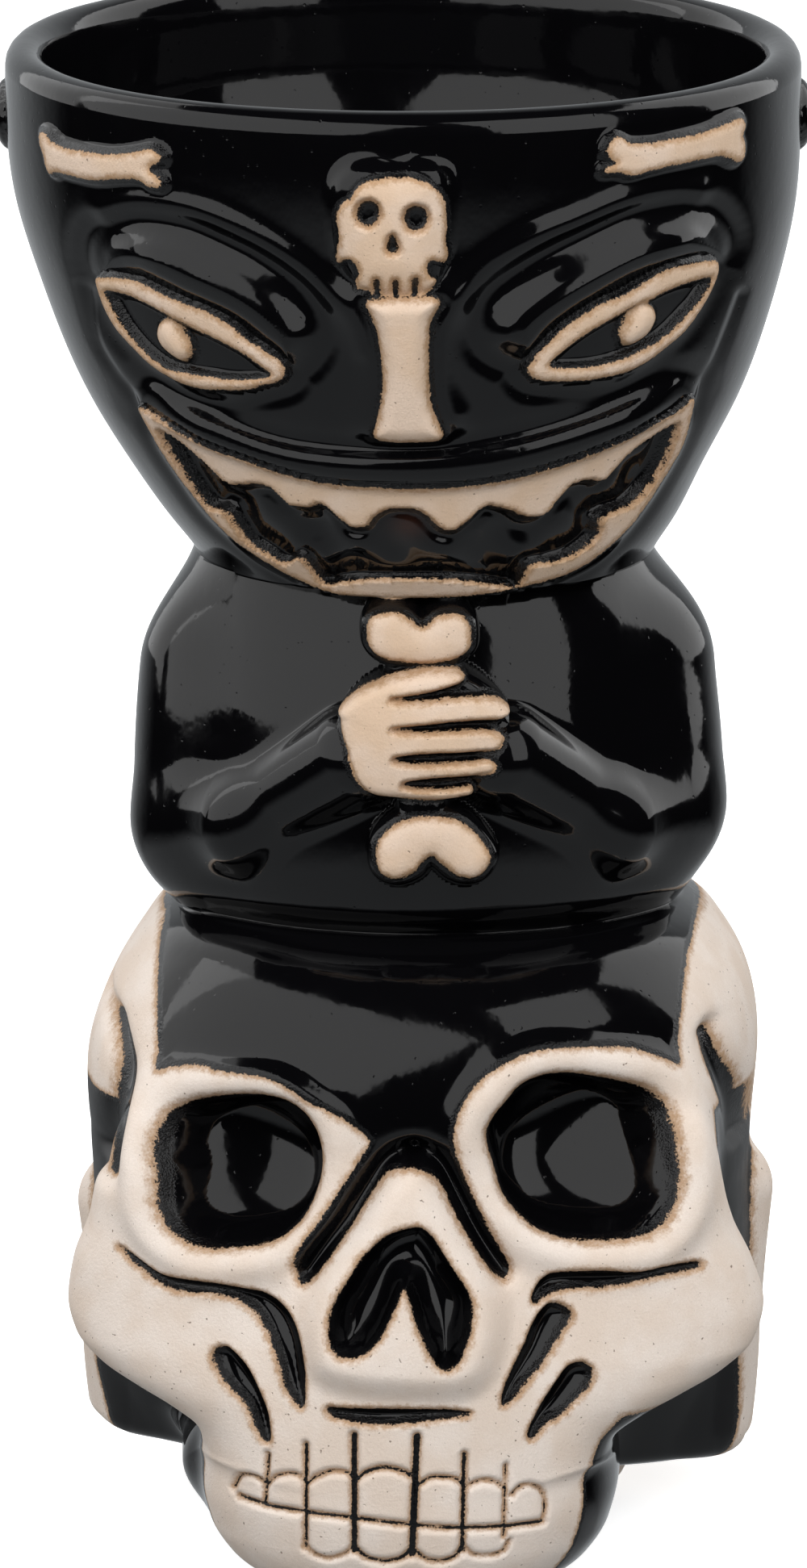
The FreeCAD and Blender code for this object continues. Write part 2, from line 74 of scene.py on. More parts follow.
# ---------------- sections: z, half width, front, back, centre x
HEAD = np.array([
    (121.0, 27.2, -30.4, 26.3, 0.3), (123.0, 28.2, -31.8, 27.2, 0.2), (126.0, 30.3, -34.4, 29.8, 0.0),
    (133.0, 34.6, -38.3, 34.2, -0.7), (141.0, 39.2, -41.3, 38.7, -1.1), (149.0, 42.6, -43.7, 42.3, -1.4),
    (157.0, 45.2, -45.6, 45.1, -1.7), (165.0, 47.2, -47.0, 47.0, -2.1), (174.0, 48.0, -48.0, 48.0, -2.4),
    (186.0, 48.0, -48.0, 48.0, -2.4),
])
TORSO = np.array([
    (78.0, 30.2, -26.0, 27.6, 0.7), (79.0, 30.6, -26.2, 27.8, 0.7), (81.0, 31.4, -28.4, 29.0, 0.6),
    (84.0, 32.0, -30.2, 30.0, 0.6), (92.0, 32.8, -31.4, 31.0, 0.7), (100.0, 32.8, -30.8, 31.0, 0.6),
    (108.0, 31.8, -29.6, 30.0, 0.4), (114.0, 30.8, -28.4, 29.0, 0.7), (118.5, 29.3, -27.4, 28.0, 0.4),
    (122.0, 27.8, -26.2, 26.9, 0.0), (124.0, 27.5, -25.8, 26.4, 0.0),
])
CRANIUM = np.array([
    (4.0, 41.2, -5.0, 40.0, -1.2), (14.0, 42.2, -9.0, 41.2, -1.2), (22.0, 42.2, -14.0, 41.6, -1.0),
    (30.0, 41.2, -22.0, 42.0, -0.4), (38.0, 40.5, -33.0, 42.0, -0.2), (46.0, 40.4, -38.2, 42.0, -0.3),
    (54.0, 40.9, -39.7, 41.6, -0.2), (60.0, 41.0, -39.9, 40.8, 0.1), (66.0, 39.8, -38.9, 39.2, 0.7),
    (71.0, 37.7, -36.4, 36.7, 1.1), (75.0, 35.2, -33.0, 33.2, 1.2), (77.6, 32.8, -29.2, 30.0, 1.1),
    (79.0, 30.6, -26.4, 27.8, 1.0), (80.0, 29.4, -24.8, 26.4, 1.0),
])
BLOCK_BOTTOM = 6.3
BLOCK_TILT = 0.029
PILLARS = ((-1, 36.7, 37.0), (1, 36.4, 40.0))  # side, how far out the top is, its height
FOOT = np.array([(0.0, 24.6, 2.0, 33.0, 0.0), (20.0, 24.6, 2.0, 33.0, 0.0)])
FOOT_TOP = 16.0
CHEEK_BOTTOM = 17.0
HEEL = ((-23.8, -22.0, 12.0), (-25.4, -8.0, 12.6), 3.4, 3.8)  # the muzzle's swollen left side
CHEEKS = np.array([
    (17.0, 22.6, -44.0, -24.0, 0.4), (20.0, 25.6, -44.0, -22.0, 0.4), (22.5, 29.6, -43.8, -19.0, 0.4),
    (24.5, 33.6, -43.6, -16.0, 0.4), (27.0, 38.2, -43.2, -12.0, 0.5), (30.0, 41.2, -42.7, -10.0, 0.7),
    (33.5, 42.2, -42.2, -8.0, 0.7), (38.5, 41.2, -41.6, -9.5, 0.4), (44.0, 39.0, -41.0, -12.0, 0.2),
    (50.0, 37.6, -39.8, -15.0, 0.0), (57.0, 35.4, -36.6, -18.0, 0.0), (63.0, 31.0, -32.0, -16.0, 0.0),
    (70.0, 25.0, -26.0, -12.0, 0.0), (76.0, 18.0, -20.0, -8.0, 0.0),
])
MUZZLE = np.array([
    (0.0, 16.5, -40.0, 0.0, 0.0), (1.2, 19.8, -42.6, 0.0, 0.0), (3.5, 22.4, -44.6, 0.0, 0.0),
    (7.0, 24.4, -45.9, 0.0, 0.0), (12.0, 25.4, -46.6, 0.0, 0.0), (22.0, 24.2, -46.8, 0.0, 0.0),
    (30.0, 22.5, -46.6, 0.0, 0.0), (38.0, 18.5, -45.4, 0.0, 0.0), (46.0, 12.0, -43.2, 0.0, 0.0),
    (53.0, 6.5, -40.6, 0.0, 0.0), (58.0, 5.0, -30.0, 0.0, 0.0), (66.0, 4.0, -10.0, 0.0, 0.0),
])

# ---------------- outlines on the front
# x, z, x, z and so on, in tenths of a millimetre
OUTLINES = {
    "bone_left": [-448, 1764, -441, 1765, -433, 1759, -422, 1755, -394, 1755, -362, 1757, -335, 1764, -316,
     1770, -305, 1765, -304, 1758, -313, 1750, -316, 1745, -307, 1738, -303, 1729, -307, 1724, -319, 1725,
     -332, 1731, -356, 1728, -384, 1722, -411, 1722, -428, 1722, -436, 1718, -441, 1727, -444, 1740, -448,
     1752],
    "bone_right": [213, 1782, 220, 1789, 228, 1786, 239, 1780, 265, 1778, 292, 1780, 324, 1782, 346, 1786,
     360, 1790, 368, 1790, 373, 1781, 370, 1768, 373, 1754, 371, 1741, 363, 1739, 346, 1749, 325, 1750,
     292, 1748, 265, 1745, 239, 1741, 225, 1746, 209, 1747, 209, 1753, 220, 1758, 212, 1766, 210, 1774],
    "emblem": [-79, 1735, -71, 1745, -50, 1751, -24, 1753, -1, 1748, 15, 1736, 23, 1721, 25, 1697, 24, 1676,
     28, 1658, 23, 1649, 10, 1653, 2, 1648, 5, 1635, 13, 1628, 8, 1617, 0, 1609, -8, 1607, -21, 1607, -29,
     1606, -40, 1606, -48, 1607, -55, 1605, -63, 1615, -76, 1616, -78, 1626, -74, 1638, -79, 1649, -88,
     1653, -100, 1646, -101, 1659, -97, 1680, -100, 1702, -95, 1718, -84, 1727],
    "emblem_eye_left": [-63, 1725, -54, 1721, -51, 1710, -55, 1700, -63, 1695, -73, 1699, -76, 1710, -72,
     1721],
    "emblem_eye_right": [-10, 1719, 0, 1715, 3, 1704, -1, 1694, -10, 1689, -19, 1694, -23, 1704, -19, 1715],
    "emblem_nose": [-36, 1684, -31, 1675, -30, 1665, -36, 1663, -41, 1665, -41, 1675],
    "emblem_dome": [-118, 1712, -113, 1750, -92, 1772, -61, 1778, -34, 1773, -8, 1779, 23, 1772, 39, 1751, 41,
     1708, 36, 1654, 21, 1610, -34, 1600, -82, 1610, -108, 1653],
    "nose": [-66, 1600, -53, 1605, -40, 1606, -8, 1607, 10, 1608, 18, 1600, 13, 1589, 7, 1576, 5, 1551, 5,
     1517, 6, 1490, 10, 1467, 18, 1447, 22, 1436, 16, 1428, -8, 1426, -35, 1426, -53, 1429, -58, 1437, -53,
     1458, -48, 1490, -48, 1517, -51, 1545, -55, 1567, -61, 1584],
    "eye_left": [-381, 1598, -371, 1603, -352, 1606, -331, 1605, -304, 1595, -277, 1586, -251, 1579, -224,
     1565, -203, 1547, -182, 1535, -164, 1522, -160, 1511, -164, 1500, -182, 1492, -209, 1483, -236, 1480,
     -262, 1479, -289, 1485, -316, 1499, -337, 1518, -356, 1537, -369, 1558, -377, 1579],
    "hole_left": [-368, 1585, -342, 1586, -318, 1578, -288, 1565, -262, 1554, -235, 1543, -209, 1530, -185,
     1513, -176, 1506, -188, 1499, -220, 1495, -246, 1496, -273, 1497, -295, 1499, -319, 1513, -340, 1534,
     -356, 1558],
    "pupil_left": [-309, 1554, -300, 1563, -288, 1560, -278, 1547, -269, 1528, -273, 1515, -282, 1510, -295,
     1516, -306, 1526, -311, 1539],
    "eye_right": [339, 1622, 341, 1607, 332, 1584, 318, 1561, 300, 1539, 278, 1523, 257, 1509, 230, 1499, 198,
     1495, 166, 1495, 134, 1499, 121, 1507, 119, 1517, 129, 1533, 142, 1546, 155, 1559, 176, 1574, 202,
     1589, 229, 1597, 245, 1606, 261, 1615, 282, 1624, 309, 1626, 326, 1625],
    "hole_right": [332, 1603, 305, 1602, 280, 1596, 261, 1588, 240, 1582, 213, 1568, 187, 1554, 161, 1536,
     145, 1521, 146, 1515, 166, 1512, 198, 1512, 230, 1518, 257, 1528, 281, 1542, 305, 1564, 321, 1581],
    "pupil_right": [243, 1583, 256, 1587, 267, 1577, 270, 1563, 264, 1547, 254, 1537, 240, 1532, 230, 1536,
     227, 1549, 232, 1565],
    "lid_left": [-387, 1635, -371, 1656, -335, 1670, -287, 1668, -245, 1653, -202, 1634, -160, 1604, -134,
     1566, -133, 1541, -156, 1517, -182, 1535, -224, 1566, -277, 1587, -331, 1606, -380, 1600],
    "lid_right": [354, 1636, 341, 1664, 314, 1683, 282, 1684, 239, 1676, 186, 1654, 133, 1625, 91, 1594, 75,
     1561, 84, 1539, 123, 1526, 155, 1560, 202, 1590, 261, 1616, 339, 1623],
    "lip": [-322, 1463, -289, 1448, -236, 1430, -183, 1414, -130, 1406, -50, 1403, 29, 1406, 108, 1417, 188,
     1436, 241, 1452, 295, 1471, 314, 1464, 315, 1450, 296, 1440, 258, 1426, 215, 1409, 161, 1392, 108,
     1379, 55, 1371, 2, 1368, -50, 1369, -103, 1372, -156, 1380, -204, 1393, -247, 1405, -290, 1421, -333,
     1439],
    "mouth": [-334, 1439, -290, 1422, -247, 1405, -204, 1393, -156, 1379, -103, 1370, -50, 1368, 2, 1367, 55,
     1370, 108, 1378, 161, 1391, 215, 1408, 258, 1425, 296, 1438, 316, 1449, 312, 1415, 301, 1380, 282,
     1348, 261, 1315, 239, 1287, 212, 1263, 182, 1243, 150, 1232, 83, 1220, 3, 1214, -51, 1213, -107, 1217,
     -152, 1234, -195, 1258, -227, 1281, -249, 1304, -265, 1324, -286, 1351, -304, 1378, -320, 1406],
    "mouth_hole": [-311, 1411, -291, 1405, -264, 1385, -242, 1365, -231, 1356, -216, 1356, -202, 1359, -183,
     1358, -168, 1345, -157, 1336, -136, 1335, -122, 1340, -109, 1332, -93, 1317, -81, 1311, -66, 1315,
     -58, 1327, -40, 1337, -13, 1337, 3, 1329, 18, 1313, 34, 1309, 50, 1319, 66, 1335, 77, 1340, 98, 1334,
     120, 1323, 141, 1323, 157, 1341, 173, 1359, 194, 1363, 210, 1359, 222, 1371, 242, 1392, 269, 1409,
     297, 1419, 294, 1398, 281, 1364, 265, 1338, 245, 1321, 222, 1315, 208, 1307, 207, 1289, 195, 1276,
     174, 1263, 152, 1258, 131, 1257, 123, 1252, 114, 1231, 109, 1225, 94, 1228, 61, 1236, 19, 1242, -51,
     1241, -99, 1233, -107, 1229, -120, 1232, -131, 1247, -141, 1262, -149, 1265, -163, 1254, -185, 1264,
     -206, 1277, -214, 1287, -222, 1299, -235, 1316, -254, 1319, -274, 1345, -291, 1373],
    "hand": [-96, 1061, -89, 1083, -72, 1104, -48, 1119, -24, 1129, 5, 1135, 29, 1135, 41, 1129, 41, 1122, 31,
     1116, 14, 1110, -10, 1104, -29, 1101, -24, 1099, 0, 1099, 24, 1102, 48, 1103, 72, 1101, 87, 1091, 91,
     1082, 84, 1074, 62, 1074, 34, 1073, 0, 1069, -29, 1065, -5, 1062, 24, 1063, 53, 1064, 77, 1062, 94,
     1054, 94, 1044, 87, 1037, 63, 1036, 34, 1035, 0, 1034, -31, 1029, -24, 1025, 0, 1023, 24, 1024, 53,
     1025, 77, 1027, 87, 1019, 82, 1009, 58, 1006, 34, 1005, 5, 1003, -19, 998, -14, 993, 10, 991, 34, 992,
     53, 994, 58, 987, 51, 979, 24, 974, -10, 975, -43, 978, -67, 986, -84, 1007, -91, 1036],
    "hand_hull": [-96, 1061, -89, 1083, -72, 1104, -48, 1119, -24, 1129, 5, 1135, 31, 1135, 65, 1114, 91,
     1086, 97, 1052, 89, 1013, 65, 984, 24, 974, -10, 975, -43, 978, -67, 986, -84, 1007, -91, 1036],
    "knuckle_top": [-55, 1183, -50, 1195, -36, 1201, -19, 1199, -2, 1184, 14, 1197, 31, 1200, 43, 1191, 47,
     1174, 46, 1157, 31, 1144, 5, 1139, -24, 1141, -43, 1147, -54, 1161],
    "knuckle_low": [-51, 908, -48, 925, -36, 940, -17, 952, 15, 955, 39, 949, 56, 935, 68, 918, 73, 903, 65,
     886, 51, 879, 34, 884, 19, 898, 10, 906, 0, 899, -10, 886, -29, 878, -46, 886],
    "panel": [-302, 801, -315, 772, -320, 749, -321, 719, -321, 680, -319, 648, -318, 629, -298, 636, -267,
     645, -236, 643, -205, 643, -180, 641, -154, 630, -134, 617, -113, 608, -93, 596, -75, 581, -64, 567,
     -70, 555, -93, 516, -119, 475, -144, 439, -153, 418, -149, 398, -142, 396, -124, 415, -98, 451, -73,
     491, -55, 519, -40, 534, -22, 538, -7, 538, 11, 529, 24, 512, 39, 482, 59, 447, 80, 417, 98, 403, 104,
     411, 103, 421, 85, 451, 64, 491, 44, 537, 36, 567, 36, 587, 44, 612, 59, 636, 80, 655, 105, 669, 131,
     677, 161, 679, 202, 677, 238, 672, 264, 662, 285, 651, 303, 642, 306, 670, 312, 713, 319, 749, 329,
     769, 331, 794, 200, 840, 0, 850, -200, 840],
    "socket_left": [-322, 513, -326, 538, -318, 565, -304, 584, -278, 599, -247, 609, -211, 616, -180, 616,
     -154, 608, -134, 589, -124, 565, -122, 535, -129, 504, -144, 474, -165, 453, -190, 440, -221, 434,
     -252, 431, -278, 434, -304, 449, -319, 474],
    "socket_right": [75, 574, 82, 596, 98, 616, 115, 635, 141, 646, 172, 647, 202, 641, 233, 632, 264, 619,
     285, 602, 298, 580, 305, 548, 307, 512, 301, 484, 285, 462, 264, 451, 233, 448, 202, 448, 172, 451,
     141, 461, 115, 480, 95, 505, 85, 536],
    "nasal": [-12, 474, 3, 470, 16, 455, 31, 430, 47, 405, 56, 384, 55, 359, 49, 335, 39, 314, 26, 308, 14,
     315, 1, 340, -9, 365, -17, 390, -22, 402, -26, 397, -35, 375, -47, 350, -63, 329, -83, 320, -98, 322,
     -108, 335, -109, 358, -103, 383, -88, 409, -68, 440, -42, 464],
    "nose_ridge": [-12, 550, 16, 530, 50, 466, 90, 394, 92, 330, 60, 278, -24, 272, -116, 284, -142, 330,
     -134, 390, -84, 466, -42, 532],
    "cheek_groove_left": [-366, 421, -343, 409, -314, 394, -283, 392, -247, 390, -216, 385, -190, 380, -167,
     365, -152, 341, -145, 313, -143, 282, -144, 253, -152, 252, -165, 268, -172, 289, -180, 315, -195,
     345, -213, 363, -231, 373, -262, 376, -293, 376, -319, 383, -343, 399, -361, 413],
    "jowl_groove_left": [-255, 301, -249, 311, -239, 313, -226, 304, -211, 287, -196, 258, -188, 236, -185,
     206, -194, 204, -206, 225, -216, 247, -232, 262, -247, 279],
    "cheek_groove_right": [329, 413, 290, 413, 254, 409, 213, 413, 172, 413, 149, 409, 135, 392, 131, 377,
     138, 374, 149, 383, 177, 391, 213, 391, 249, 396, 290, 403, 331, 405],
    "nose_groove_right": [143, 366, 156, 374, 174, 367, 177, 354, 161, 330, 144, 303, 121, 278, 103, 259, 94,
     259, 98, 279, 110, 305, 123, 330, 131, 349],
    "jowl_groove_right": [174, 297, 190, 302, 203, 294, 202, 277, 185, 257, 167, 240, 146, 227, 131, 212, 126,
     220, 134, 239, 146, 260, 162, 282],
    "lip_line": [-116, 253, -93, 253, -53, 254, -12, 254, 24, 254, 52, 251, 55, 247, 29, 243, -12, 238, -53,
     234, -93, 238, -111, 242],
}

# ---------------- open lines on the front, in the same numbers
LINES = {
    "brow_left": [-376, 1681, -341, 1696, -298, 1699, -260, 1695, -223, 1683, -181, 1663, -139, 1636, -108,
     1608, -82, 1580, -69, 1541],
    "brow_right": [325, 1706, 282, 1713, 239, 1709, 186, 1692, 133, 1675, 81, 1649, 47, 1618, 26, 1583, 19,
     1541, 20, 1497, 34, 1460],
    "face_left": [-405, 1577, -392, 1514, -367, 1473, -346, 1441, -329, 1393, -298, 1343, -264, 1296, -210,
     1251, -158, 1221],
    "face_right": [379, 1567, 355, 1504, 335, 1457, 327, 1411, 304, 1354, 261, 1289, 212, 1242, 159, 1217],
    "emblem_gap_1": [-54, 1627, -54, 1604],
    "emblem_gap_2": [-33, 1626, -33, 1601],
    "emblem_gap_3": [-11, 1629, -11, 1605],
    "nose_v_left": [-12, 554, -32, 551, -50, 537, -70, 506, -93, 471, -119, 438, -142, 409],
    "nose_v_right": [-12, 554, 6, 551, 24, 534, 42, 501, 64, 462, 82, 434, 98, 413],
    "temple_left": [-379, 661, -370, 638, -365, 619, -366, 589, -373, 546, -384, 505],
    "temple_right": [348, 663, 358, 631, 372, 591, 383, 551, 388, 514],
}

# The lines between the skull's teeth: points, and half the line's width
TOOTH_LINES = [
    ([-222, 126, -186, 122, -145, 120, -93, 117, -42, 112, 9, 107, 60, 105, 101, 105, 144, 106], 0.3),
    ([-188, 187, -192, 124], 0.25),
    ([-142, 205, -143, 74], 0.3),
    ([-84, 220, -84, 74], 0.45),
    ([-8, 220, -14, 71], 0.5),
    ([49, 198, 47, 75], 0.35),
    ([99, 182, 97, 92], 0.22),
    ([-230, 134, -220, 154, -202, 156, -190, 148], 0.2),
    ([-188, 149, -181, 159, -165, 166, -150, 165, -143, 155], 0.2),
    ([-141, 156, -129, 166, -111, 174, -93, 173, -85, 164], 0.22),
    ([-82, 163, -70, 174, -47, 181, -22, 175, -9, 162], 0.3),
    ([-6, 160, 6, 168, 19, 170, 39, 167, 48, 156], 0.24),
    ([51, 156, 62, 163, 77, 165, 90, 160, 98, 152], 0.2),
    ([106, 144, 116, 154, 131, 155, 143, 144, 147, 125, 144, 106], 0.18),
    ([-143, 84, -137, 70, -117, 62, -94, 70, -85, 83], 0.18),
    ([-83, 80, -70, 66, -47, 61, -25, 67, -15, 80], 0.3),
    ([-13, 80, 1, 66, 21, 62, 39, 69, 46, 82], 0.26),
    ([48, 83, 60, 71, 80, 68, 96, 73, 103, 86], 0.18),
]

# The relief: height, width of the rounded edge, reach past the outline, and its foot's width
RISES = {
    "forehead_bone": (1.3, 1.6, 0.5, 0.6), "emblem_lump": (2.5, 5.5, 0.0, 0.6),
    "emblem_hole": (1.5, 1.1, 0.15, 0.6),
    "nose": (3.2, 2.4, 0.4, 0.6), "upper_lid": (2.7, 6.5, 0.0, 1.2), "eye_rim": (1.5, 1.2, 0.35, 0.6),
    "eyeball": (0.9, 3.0, 0.0, 0.6), "pupil": (1.9, 2.2, 0.2, 0.6), "upper_lip": (1.9, 2.4, 0.3, 1.2),
    "teeth": (0.9, 1.2, 0.3, 0.8),
}
# Ridges and grooves: height, half width, and distance of the middle from the outline or line
RIDGES = {
    "emblem_gap": (0.9, 0.45, 0.0), "nose_mound": (1.3, 3.2, 0.0), "eye_moat": (0.55, 1.5, 1.8),
    "brow": (0.6, 1.6, 0.0), "face_line": (0.35, 0.8, 0.0), "lip_moat": (0.3, 1.4, 2.0),
    "tongue_tip": (1.3, 2.6, 0.0), "tongue_root": (0.9, 2.8, 0.0), "socket_rim": (1.5, 2.4, 2.2),
    "nose_groove": (1.9, 1.25, 0.0), "temple": (1.8, 1.5, 0.0),
}
MOUTH_X = -0.7
TONGUE_X = -2.0
EAR_RISE, EAR_ANGLE, EAR_Z, EAR_HALF_WIDTH, EAR_HALF_HEIGHT = 1.9, 1.66, 174.2, 5.0, 4.4
HEAD_RADIUS = 48.0
HAND_REACH, FINGER_RISE = 37.2, 2.0
# The bone staff's ends, and how far forward they are
KNUCKLES = (("knuckle_top", 33.2), ("knuckle_low", 34.2))
KNUCKLE_RISE = 1.2
SHAFT_X, SHAFT_RADIUS, SHAFT_RISE = -0.1, 3.4, 3.0
# The bowls in the eye sockets: x, z, half width, half height
SOCKETS = (("socket_left", -22.4, 52.5, 10.9, 10.0), ("socket_right", 19.1, 54.8, 12.2, 10.7))
SOCKET_DEPTH, SOCKET_STEP = 8.6, 1.4
NOSE_RIDGE_RISE, NASAL_DEPTH, NASAL_STEP = 2.2, 4.6, 0.4
GROOVES = ("cheek_groove_left", "jowl_groove_left", "cheek_groove_right", "nose_groove_right",
           "jowl_groove_right", "lip_line")
GROOVE_DEPTH, TOOTH_LINE_DEPTH = 2.0, 0.75
COLLAR_Z = 77.6

# ---------------- small maths


def pairs(tenths):
    return np.reshape(tenths, (-1, 2)) / 10.0


def smooth(z, zs, ys):
    """A monotone cubic through a table's rows."""
    h, d = np.diff(zs), np.diff(ys) / np.diff(zs)
    m = np.concatenate([[d[0]], np.zeros(len(d) - 1), [d[-1]]])
    same = d[:-1] * d[1:] > 0
    m[1:-1][same] = (2 * d[:-1] * d[1:])[same] / (d[:-1] + d[1:])[same]
    i = np.clip(np.searchsorted(zs, z) - 1, 0, len(h) - 1)
    t = np.clip((z - zs[i]) / h[i], 0, 1)
    a, b, e, f = ys[i], ys[i + 1], m[i] * h[i], m[i + 1] * h[i]
    return a + t * e + t * t * (3 * (b - a) - 2 * e - f) + t ** 3 * (2 * (a - b) + e + f)


def even(z, zs, ys):
    """A natural cubic spline through a table's rows, for the glossy walls."""
    h = np.diff(zs)
    n = len(zs)
    a, b = np.zeros((n, n)), np.zeros(n)
    a[0, 0] = a[-1, -1] = 1.0
    for k in range(1, n - 1):
        a[k, k - 1:k + 2] = h[k - 1], 2 * (h[k - 1] + h[k]), h[k]
        b[k] = 6 * ((ys[k + 1] - ys[k]) / h[k] - (ys[k] - ys[k - 1]) / h[k - 1])
    m = np.linalg.solve(a, b)
    z = np.clip(z, zs[0], zs[-1])
    i = np.clip(np.searchsorted(zs, z) - 1, 0, n - 2)
    p, q, w = zs[i + 1] - z, z - zs[i], h[i]
    return (m[i] * p ** 3 + m[i + 1] * q ** 3) / (6 * w) + (ys[i] / w - m[i] * w / 6) * p \
        + (ys[i + 1] / w - m[i + 1] * w / 6) * q


def ramp(v, low, high):
    t = np.clip((v - low) / (high - low), 0, 1)
    return t * t * (3 - 2 * t)


def bell(d, width):
    return np.exp(-(d / width) ** 2)


def smin(a, b, k):
    h = np.clip(0.5 + 0.5 * (b - a) / k, 0, 1)
    return b + (a - b) * h - k * h * (1 - h)


def dome(inside, width):
    """A quarter-round edge: 0 at the outline and 1 from width inwards."""
    t = np.clip(inside / width, 0, 1)
    return np.sqrt(1 - (1 - t) ** 2)


def swell(inside, width, skirt):
    """A rounded rise with a soft foot: 0 a skirt outside the outline and 1 from width inwards."""
    t = np.clip((inside + skirt) / (width + skirt), 0, 1)
    return (1 - (1 - t) ** 2) * ramp(t, 0.0, 0.45)


def rise(kind, d):
    """How much a rounded detail rises at distance d from its outline."""
    height, width, outset, skirt = RISES[kind]
    return height * swell(outset - d, width, skirt)


def ridge(kind, d):
    height, width, middle = RIDGES[kind]
    return height * bell(d - middle, width)


def fine(points, closed, parts=4):
    """Points on a Catmull-Rom curve."""
    p = np.array(points, float)
    if len(p) < 3:
        return p
    if closed:
        q = np.concatenate([p[-1:], p, p[:2]])
    else:
        q = np.concatenate([2 * p[:1] - p[1:2], p, 2 * p[-1:] - p[-2:-1]])
    out = []
    for i in range(1, len(q) - 2):
        for t in np.arange(parts) / parts:
            a, b, c, d = q[i - 1], q[i], q[i + 1], q[i + 2]
            out.append(0.5 * (2 * b + (c - a) * t + (2 * a - 5 * b + 4 * c - d) * t * t
                              + (3 * b - a - 3 * c + d) * t ** 3))
    return np.array(out) if closed else np.array(out + [q[-2]])


def near(points, x, z, margin):
    low, high = points.min(0) - margin, points.max(0) + margin
    return (x > low[0]) & (x < high[0]) & (z > low[1]) & (z < high[1])


def to_segments(points, closed, x, z):
    ends = np.roll(points, -1, 0) if closed else points[1:]
    best = np.full(x.shape, 1e9)
    for (ax, az), (bx, bz) in zip(points, ends):
        ex, ez = bx - ax, bz - az
        t = np.clip(((x - ax) * ex + (z - az) * ez) / max(ex * ex + ez * ez, 1e-9), 0, 1)
        best = np.minimum(best, (x - ax - t * ex) ** 2 + (z - az - t * ez) ** 2)
    return np.sqrt(best)


def outline_distance(tenths, x, z, margin=FAR):
    """Distance to an outline: negative inside."""
    points = fine(pairs(tenths), True)
    out = np.full(x.shape, margin)
    pick = near(points, x, z, margin)
    px, pz = x[pick], z[pick]
    d = to_segments(points, True, px, pz)
    inside = np.zeros(px.shape, bool)
    for (ax, az), (bx, bz) in zip(points, np.roll(points, -1, 0)):
        cross = (az > pz) != (bz > pz)
        inside ^= cross & (px < (bx - ax) * (pz - az) / (bz - az + 1e-12) + ax)
    out[pick] = np.minimum(np.where(inside, -d, d), margin)
    return out


def line_distance(tenths, x, z, margin=LINE_FAR):
    points = fine(pairs(tenths), False)
    out = np.full(x.shape, margin)
    pick = near(points, x, z, margin)
    out[pick] = np.minimum(to_segments(points, False, x[pick], z[pick]), margin)
    return out


def section_field(table, power, x, y, z, through=smooth):
    """Roughly the distance outside a stack of superellipses."""
    a, front, back, cx = (through(z, table[:, 0], table[:, k]) for k in (1, 2, 3, 4))
    h = (back - front) / 2
    u = np.abs(x - cx) / a
    v = np.abs(y - (front + back) / 2) / h
    return ((u ** power + v ** power) ** (1 / power) - 1) * np.minimum(a, h)


def capsule(x, y, z, a, b, ra, rb):
    a, b = np.array(a, float), np.array(b, float)
    e = b - a
    t = np.clip(((x - a[0]) * e[0] + (y - a[1]) * e[1] + (z - a[2]) * e[2]) / (e @ e), 0, 1)
    d = np.sqrt((x - a[0] - t * e[0]) ** 2 + (y - a[1] - t * e[1]) ** 2 + (z - a[2] - t * e[2]) ** 2)
    return d - ra - (rb - ra) * t


# ---------------- the big forms

TORSO_X = 0.6
ARM_POINTS = ((26.6, -4.5, 107.9), (27.6, -8.0, 89.6), (21.6, -20.4, 91.8), (8.8, -29.4, 101.8))
ARM_RADII = (6.6, 6.9, 5.6, 6.2)
ELBOW_DROP = {-1: 0.3, 1: -1.9}
# How softly the forms run together
SOFT_ELBOW = 4.0
SOFT_SHOULDER = 10.0
SOFT_FOREARM, SOFTER_OUTSIDE = 1.6, 2.4
SOFT_CHEEK = 3.0
SOFT_HEEL = 6.0
SOFT_PILLAR = 1.5
SOFT_BOTTOM = 2.0
SOFT_FACE, SOFTER_BELOW = 2.0, 5.0


def arm_field(x, y, z, side):
    p = [(TORSO_X + side * px, py, pz) for px, py, pz in ARM_POINTS]
    p[1] = (p[1][0], p[1][1], p[1][2] - ELBOW_DROP[side])
    upper, below_elbow, to_wrist = (capsule(x, y, z, p[k], p[k + 1], ARM_RADII[k], ARM_RADII[k + 1])
                                    for k in range(3))
    return upper, smin(below_elbow, to_wrist, SOFT_ELBOW)


def torso_field(x, y, z):
    d = section_field(TORSO, ROUND, x, y, z, even)
    soft = SOFT_FOREARM + SOFTER_OUTSIDE * ramp(np.abs(x - TORSO_X), 24.0, 31.0)
    for side in (-1, 1):
        upper, fore = arm_field(x, y, z, side)
        d = smin(smin(d, upper, SOFT_SHOULDER), fore, soft)
    return d


def head_field(x, y, z):
    return section_field(HEAD, ROUND, x, y, z, even)


def face_field(x, y, z):
    muzzle = section_field(MUZZLE, FACE, x, y, z)
    cheeks = np.maximum(section_field(CHEEKS, FACE, x, y, z), CHEEK_BOTTOM - z)
    return smin(smin(muzzle, cheeks, SOFT_CHEEK), capsule(x, y, z, *HEEL), SOFT_HEEL)


def cranium_field(x, y, z):
    """The skull without its face: a block that ends above the floor, on a hidden foot."""
    d = section_field(CRANIUM, BLOCKY, x, y, z, even)
    for side, out, top in PILLARS:
        pillar = capsule(x, y, z, (side * 33.0, 8.0, 10.0), (side * out, 6.0, top), 7.0, 6.6)
        d = smin(d, pillar, SOFT_PILLAR)
    under = BLOCK_BOTTOM - z - BLOCK_TILT * x
    d = -smin(-d, -under, SOFT_BOTTOM)
    return np.minimum(d, np.maximum(section_field(FOOT, BLOCKY, x, y, z), z - FOOT_TOP))


